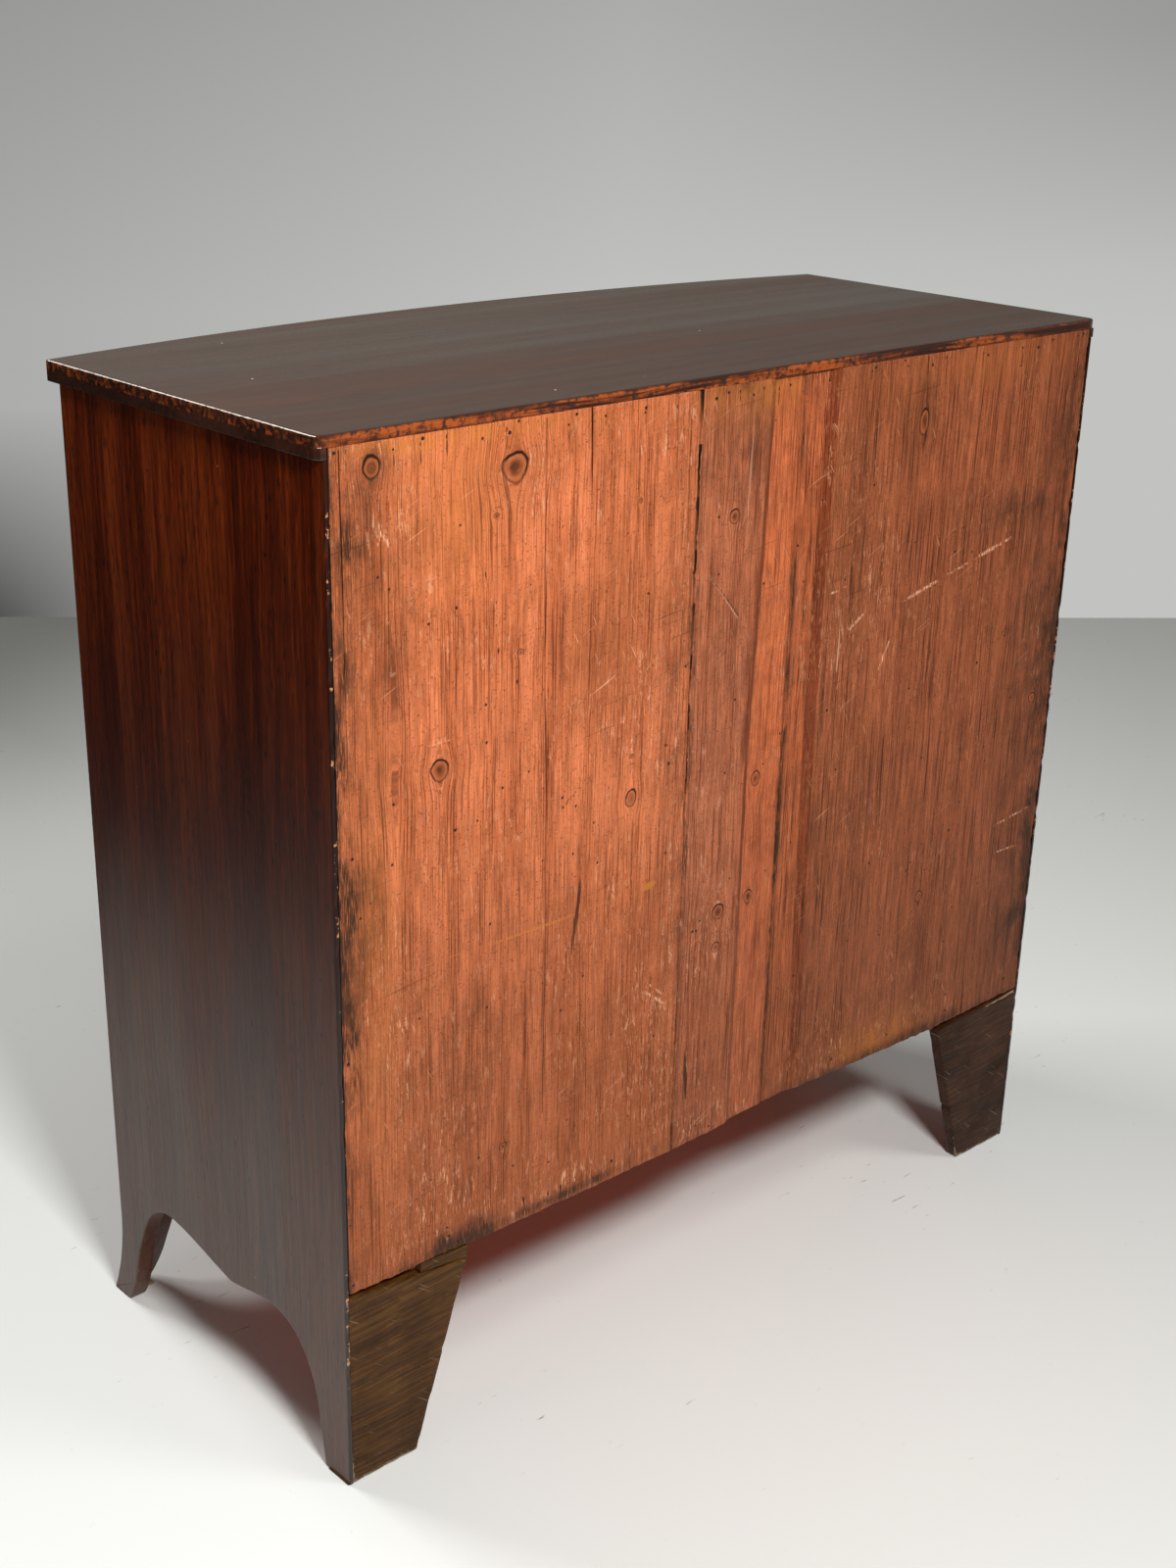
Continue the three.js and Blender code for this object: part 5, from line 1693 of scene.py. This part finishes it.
@dataclass(frozen=True)
class Fixings:
    """Nails of the back and glue blocks under the base."""

    iron: Material
    pine: Material
    studs: Tree
    nail: tuple[float, float] = (2.1, 0.7)
    nail_rows: tuple[tuple[float, int], ...] = ((1021, 13), (668, 9), (468, 8), (232, 10))
    inner: float = 502.5
    under_base: float = 215.7

    def nails(self) -> None:
        """Drives nails along the top and the rails of the back, but not into the channel."""
        places = []
        chance = np.random.default_rng(12)
        for height, count in self.nail_rows:
            for x in np.linspace(-500, 500, count):
                x = x + chance.uniform(-14, 14)
                if -108 < x < 8:
                    continue
                places.append((x, 0.25, height + chance.uniform(-4, 5)))
        radius, height = self.nail
        made = grown("back_nails", np.array(places), [], self.studs, {
            "Sides": 7, "Radius": radius * METRES, "Top": 0.62, "Height": height * METRES, "Turn": quarter_turn(-1),
            "Uneven": 0.35, "Seed": 5, "Finish": self.iron})
        settle(made, CASE, "brass", self.iron)

    def blocks(self) -> None:
        """Glues blocks behind the apron and beside the feet."""
        shell = Shell()
        for x in (-330, -200, -70, 70, 200, 330):
            front = float(BOW.reach(x, 20.5))
            self.block(shell, (x - 32, x + 32), (front - 26, front), (190, self.under_base))
        for sign in (-1, 1):
            for reach in (70, 150, 230, 310):
                ends = sorted((sign * self.inner, sign * 478))
                self.block(shell, ends, (reach, reach + 56), (192, self.under_base))
            self.block(shell, sorted((sign * self.inner, sign * 480)), (14.3, 37), (70, 190))
        shell.piece("glue_blocks", CASE, "plain_pine", self.pine)

    def block(self, shell: Shell, across: Sequence[float], reach: Sequence[float], heights: Sequence[float]) -> None:
        """Adds one chamfered block to a shell."""
        line = dense(oblong(across[0], reach[0], across[1], reach[1]), 30)
        plate(shell, line, *heights, lying, (2.0, 0.6))

    def build(self) -> None:
        """Builds the nails and the blocks."""
        self.nails()
        self.blocks()


@dataclass(frozen=True)
class Studio:
    """Camera, floor, backdrop and lamps, as in the photograph. Lengths are in metres."""

    azimuth: float = 137.292
    elevation: float = 22.837
    roll: float = 1.317
    place: tuple[float, float, float] = (1.4912, 1.6044, 1.3904)
    lens: float = 47.995
    shift: tuple[float, float] = (0.00528, 0.0388)
    near_wall: int = 0xC2C3C0
    high_wall: int = 0xA9AAA7
    dark_wall: int = 0x897F73
    ceiling: int = 0x5E554D
    floor_colour: int = 0xE8EAE6
    far_floor: int = 0xA9AAA7
    floor_slant: float = 0.077
    floor_half: tuple[float, float] = (16.0, 12.2)
    floor_middle: float = 9.73
    floor_drop: float = 0.0012
    ambient: float = 0.075
    dark_side: tuple[float, float, float] = (0.45, -0.89, 0.0)

    def camera(self) -> None:
        """Sets the camera."""
        a, e, r = (math.radians(v) for v in (self.azimuth, self.elevation, self.roll))
        back = Vector((math.sin(a) * math.cos(e), -math.cos(a) * math.cos(e), math.sin(e)))
        right = Vector((math.cos(a), math.sin(a), 0))
        up = back.cross(right)
        axes = (right * math.cos(r) + up * math.sin(r), up * math.cos(r) - right * math.sin(r), back)
        camera = bpy.data.cameras.new("camera")
        camera.lens = self.lens
        camera.sensor_width = 36.0
        camera.shift_x, camera.shift_y = self.shift
        camera.clip_start = 0.02
        holder = bpy.data.objects.new("camera", camera)
        holder.matrix_world = Matrix.Translation(self.place) @ Matrix(axes).transposed().to_4x4()
        bpy.context.scene.collection.objects.link(holder)
        bpy.context.scene.camera = holder

    def floor(self) -> None:
        """Lays a pale painted floor that ends where the photographed one meets its wall."""
        turn = math.radians(self.azimuth)
        along = Vector((math.sin(turn), -math.cos(turn), 0))
        across = Vector((math.cos(turn), math.sin(turn), 0)) - along * self.floor_slant
        work = bmesh.new()
        bmesh.ops.create_grid(work, x_segments=40, y_segments=40, size=1.0)
        wide, deep = self.floor_half
        for vertex in work.verts:
            flat = across * vertex.co.x * wide + along * (vertex.co.y * deep + self.floor_middle)
            vertex.co = flat - Vector((0, 0, self.floor_drop))
        mesh = bpy.data.meshes.new("floor")
        work.to_mesh(mesh)
        work.free()
        s = Surface("painted_floor")
        cloud = s.add(NOISE, {"Vector": s.place, "Scale": 3.0, "Detail": 4.0})
        mark = s.add(NOISE, {"Vector": s.place, "Scale": 45.0, "Detail": 5.0, "Roughness": 0.7})
        colour = s.add(LAY, {0: cloud, 6: linear(self.floor_colour), 7: linear(0xEAEBE7)})
        long = s.add(PLACE, {"Vector": s.place, "Rotation": (0, 0, 0.9), "Scale": (0.16, 1.0, 1.0)})
        scuff = s.add(NOISE, {"Vector": long, "Scale": 210.0, "Detail": 2.0, "Distortion": 0.4})
        patchy = s.add(RANGE, {0: cloud, 1: 0.5, 2: 0.62, 3: 0.78, 4: 0.7})
        scuff = s.add(TIMES, {0: s.add(LESS, {0: scuff, 1: patchy}), 1: 12.0}, use_clamp=True)
        dirt = s.add(LARGER, {0: s.add(RANGE, {0: mark, 1: 0.68, 2: 0.76, 4: 0.4}), 1: scuff})
        colour = s.add(LAY, {0: dirt, 6: colour, 7: linear(0x9A968C)})
        # The far corner of the room lies in shade, which the polish of the side shows
        away = s.add(DOT, {0: s.place, 1: self.dark_side})
        eye = s.add(RAY, {})
        beside = s.add(SPLIT, {0: s.place}, "X")
        seen = s.add(RANGE, {0: beside, 1: -0.3, 2: 0.5, 3: 0.3, 4: 0.9})
        least = s.add(MIX, {0: eye, 2: 0.06, 3: seen})
        shade = s.add(RANGE, {0: away, 1: 0.85, 2: 2.0, 3: 1.0, 4: least}, interpolation_type="SMOOTHSTEP")
        colour = s.add(SCALED, {0: colour, 3: shade})
        # Far from the chest the floor fades into the pale backdrop, for the eye alone
        length = s.add(LENGTH, {0: s.place})
        behind = s.add(DOT, {0: s.place, 1: (0.4, 0.45, 0.0)})
        length = s.add(PLUS, {0: length, 1: s.add(LARGER, {0: behind, 1: 0.0})})
        fade = s.add(RANGE, {0: length, 1: 2.6, 2: 5.0}, interpolation_type="SMOOTHSTEP")
        fade = s.add(TIMES, {0: fade, 1: eye})
        rest = s.add(LESS, {0: 1.0, 1: fade})
        colour = s.add(SCALED, {0: colour, 3: rest})
        s.finish(colour, s.add(RANGE, {0: mark, 3: 0.42, 4: 0.62}), mark, 0.0005, 0.2,
                 Emission_Color=linear(self.far_floor), Emission_Strength=fade)
        mesh.materials.append(s.material)
        floor = bpy.data.objects.new("floor", mesh)
        bpy.context.scene.collection.objects.link(floor)

    def world(self) -> None:
        """Surrounds the chest with plain soft light, and shows a pale wall to the eye and in reflections; for the eye
        the wall carries a painted shadow near the horizon.
        """
        world = bpy.data.worlds.new("studio")
        bpy.context.scene.world = world
        world.use_nodes = True
        world.node_tree.nodes.clear()
        add = partial(wire, world.node_tree)
        aim = add(COORDINATES, {}, "Generated")
        rise = add(SPLIT, {0: aim})
        wall = linear(self.near_wall)
        for low, high, tone in ((-0.15, 0.0, self.high_wall), (0.0, 0.22, self.dark_wall), (0.3, 0.9, self.ceiling)):
            share = add(RANGE, {0: rise, 1: low, 2: high})
            wall = add(LAY, {0: share, 6: wall, 7: linear(tone)})
        turned = add(DOT, {0: aim, 1: (0.3, -0.95, 0.0)})
        eye = add(RANGE, {0: turned, 1: 0.48, 2: 0.8, 3: 1.0, 4: 0.66})
        # Both corner terms darken the wall near the horizon for the eye: painted shadow on the wall
        corner = add(TIMES, {0: add(RANGE, {0: turned, 1: 0.6, 2: 0.7, 4: 0.7}),
                                   1: add(RANGE, {0: rise, 1: -0.19, 2: -0.28})})
        eye = add(LESS, {0: eye, 1: corner})
        corner = add(TIMES, {0: add(RANGE, {0: turned, 1: 0.48, 2: 0.25, 4: 0.22}),
                                   1: add(RANGE, {0: rise, 1: -0.12, 2: -0.02})})
        eye = add(LESS, {0: eye, 1: corner})
        turned = add(DOT, {0: aim, 1: (0.8, -0.3, 0.0)})
        polish = add(RANGE, {0: turned, 1: 0.15, 2: 0.45, 3: 1.0, 4: 0.05})
        turned = add(SPLIT, {0: aim}, "X")
        far = add(RANGE, {0: turned, 1: -0.6, 2: -0.86, 3: 1.0, 4: 0.6})
        polish = add(TIMES, {0: polish, 1: far})
        rays = [add(RAY, {}, name) for name in ("Is Camera Ray", "Is Glossy Ray", "Is Transmission Ray")]
        shade = add(MIX, {0: rays[0], 2: polish, 3: eye})
        wall = add(SCALED, {0: wall, 3: shade})
        seen = add("ShaderNodeBackground", {"Color": wall, "Strength": 1.0})
        soft = add("ShaderNodeBackground", {"Color": linear(0xFFFFFF), "Strength": self.ambient})
        either = add(LARGER, {0: rays[0], 1: rays[1]})
        either = add(LARGER, {0: either, 1: rays[2]})
        mixed = add("ShaderNodeMixShader", {0: either, 1: soft, 2: seen})
        add("ShaderNodeOutputWorld", {0: mixed})

    def lamp(self, name: str, place: Sequence[float], size: Sequence[float], watts: float,
             mirrored: bool = True) -> None:
        """Hangs one soft box.

        Args:
            name: its name.
            place: where it hangs.
            size: its width and height.
            watts: its power.
            mirrored: whether polish shows it.
        """
        light = bpy.data.lights.new(name, "AREA")
        light.shape = "RECTANGLE"
        light.size, light.size_y = size
        light.energy = watts
        holder = bpy.data.objects.new(name, light)
        holder.location = place
        holder.visible_glossy = mirrored
        holder.rotation_euler = (Vector((0, 0, 0.5)) - Vector(place)).to_track_quat("-Z", "Y").to_euler()
        bpy.context.scene.collection.objects.link(holder)

    def build(self) -> None:
        """Sets the whole stage."""
        bpy.context.scene.view_settings.view_transform = "Standard"
        self.camera()
        self.floor()
        self.world()
        self.lamp("key", (0.92, 1.9, 2.2), (0.45, 0.4), 67.0, mirrored=False)
        self.lamp("fill", (-0.8, 2.0, 3.4), (0.9, 0.8), 30.0)
        self.lamp("side", (2.9, 0.3, 2.4), (1.2, 1.0), 3.0)
        self.lamp("front", (0.6, -2.2, 2.6), (0.7, 0.6), 32.0)
        self.lamp("over", (1.2, -1.9, 3.6), (0.6, 0.6), 32.0)


class Chest:
    """The whole chest: its finishes, and its sub-assemblies in the order in which they are built."""

    drawer_half: float = 502.0
    divider_gap: float = 10.0
    handle_place: float = 256.0

    def __init__(self) -> None:
        """Mixes the finishes."""
        # The side darkens towards the floor as painted shade, and its greyer skin low down is partly a painted
        # reflection of the pale floor
        self.side = Mahogany(
            "mahogany_side", haze=0.55, haze_and_reflection_colour=0x56351F, haze_heights=(0.62, 0.3), dark=0x2E0C01, middle=0x541802,
            light=0x7C3206, gloss=0.3, dull=0.42, painted_shade_below=0.64, coat=0.04, pores=0.95, fibre=0.46,
            sheen=(0.2, 0.6)).material()
        # The top's near-white bare colour is partly a painted highlight on its side arrises
        self.top = Mahogany("mahogany_top", Grain.ALONG_X, dark=0x1E0E09, middle=0x31180F, light=0x472517, gloss=0.2,
                            dull=0.36, pores=0.4, bare=0xF0E4D6, bands=9.0, coat=0.3).material()
        self.front = Mahogany("mahogany_front", Grain.ALONG_X, shift=4.0, pores=0.4).material()
        self.flame = Mahogany(
            "mahogany_flame", Grain.UPRIGHT, figure=0.6, dark=0x3A1206, middle=0x652609, light=0x8F4416, pores=0.35,
            shift=9.0, gloss=0.22).material()
        self.bead = Mahogany("mahogany_bead", Grain.ALONG_X, dark=0x1E0A05, middle=0x34150A, light=0x4A2010).material()
        self.apron = Mahogany("mahogany_apron", Grain.ALONG_X, haze=0.35, shift=6.0).material()
        self.oak = SawnWood(
            "oak_linings", Grain.ALONG_Y, 0xA06F42, 0xC89A68, soot=0x4A3220, dirt=0.35, scuffs=0.3).material()
        self.oak_wide = SawnWood("oak_bottoms", Grain.ALONG_X, 0x9A6A3C, 0xC2935F, soot=0x4A3220, dirt=0.3).material()
        self.pine = SawnWood("pine_inside", Grain.ALONG_X, 0xA87C48, 0xCBA069, dirt=0.25).material()
        self.pine_pale = SawnWood("pine_splinter", Grain.ALONG_X, 0x8A6E56, 0xB4977A, dirt=0.35, scuffs=0.4).material()
        self.foot_near = SawnWood(
            "stained_oak_near", Grain.ALONG_X, 0x3A220B, 0x573814, soot=0x1E1209, dirt=0.5, scuffs=0.5,
            roughness=0.5).material()
        self.foot_far = SawnWood(
            "stained_oak_far", Grain.ALONG_X, 0x261305, 0x44260F, soot=0x160C06, dirt=0.5, scuffs=0.5, roughness=0.5,
            shift=5.0).material()
        self.wash = SawnWood("washed_underside", Grain.ALONG_X, 0xA03008, 0xC4461A, soot=0x641E08, dirt=0.3).material()
        self.brass = OldMetal("aged_brass", 0xC9A25A, 0x6E4E22).material()
        self.iron = OldMetal("rusted_iron", 0x3A3431, 0x4A2C1C, 0.7, 0.7, 0.5).material()
        # The keyhole's near-black is painted shade: no hole is cut
        self.hole_shade = SawnWood("keyhole_painted_shade", Grain.UPRIGHT, 0x050302, 0x0C0805, dirt=0.0).material()

    def carcass(self) -> None:
        """Gives the CAD nodes that stay their finishes."""
        for name, node in frame["nodes"].items():
            if name.startswith("dustboard") or name == "drawer_guide":
                finish = self.pine
            elif name.endswith(("_back", "_bottom")):
                finish = self.oak_wide
            elif "_side_" in name:
                finish = self.oak
            elif name.endswith("_front"):
                finish = self.front
            else:
                finish = self.foot_near if "foot" in name else self.front
            for slot in node.material_slots:
                slot.material = finish

    def drawers(self) -> None:
        """Builds the five drawers' fronts."""
        rods, studs = bead_tree(), studs_tree()
        shared = {"finish": self.flame, "brass": self.brass, "bead": self.bead, "hole_shade": self.hole_shade,
                  "iron": self.iron, "rods": rods, "studs": studs}
        half, gap, handle = self.drawer_half, self.divider_gap, self.handle_place
        for prefix, low, high, xs in (("short_drawer_left", -half, -gap, (-handle,)),
                                      ("short_drawer_right", gap, half, (handle,)),
                                      ("long_drawer_upper", -half, half, (-handle, handle)),
                                      ("long_drawer_middle", -half, half, (-handle, handle)),
                                      ("long_drawer_lower", -half, half, (-handle, handle))):
            Drawer(prefix, low, high, xs, **shared).build()
        Fixings(self.iron, self.pine, studs).build()

    def build(self) -> None:
        """Builds every piece."""
        self.carcass()
        for hand in Hand:
            CaseSide(hand, self.side).build()
        TopBoard(self.top).build()
        for board in back_boards():
            board.build()
        RearFeet(self.foot_near, self.foot_far, self.pine_pale, self.foot_near).build()
        FrontFrame(self.front, self.apron, self.wash).build()
        self.drawers()


def main() -> None:
    """Builds the stage and the chest."""
    logging.basicConfig(level=logging.INFO, format="%(message)s")
    Studio().build()
    Chest().build()


if __name__ == "__main__":
    main()
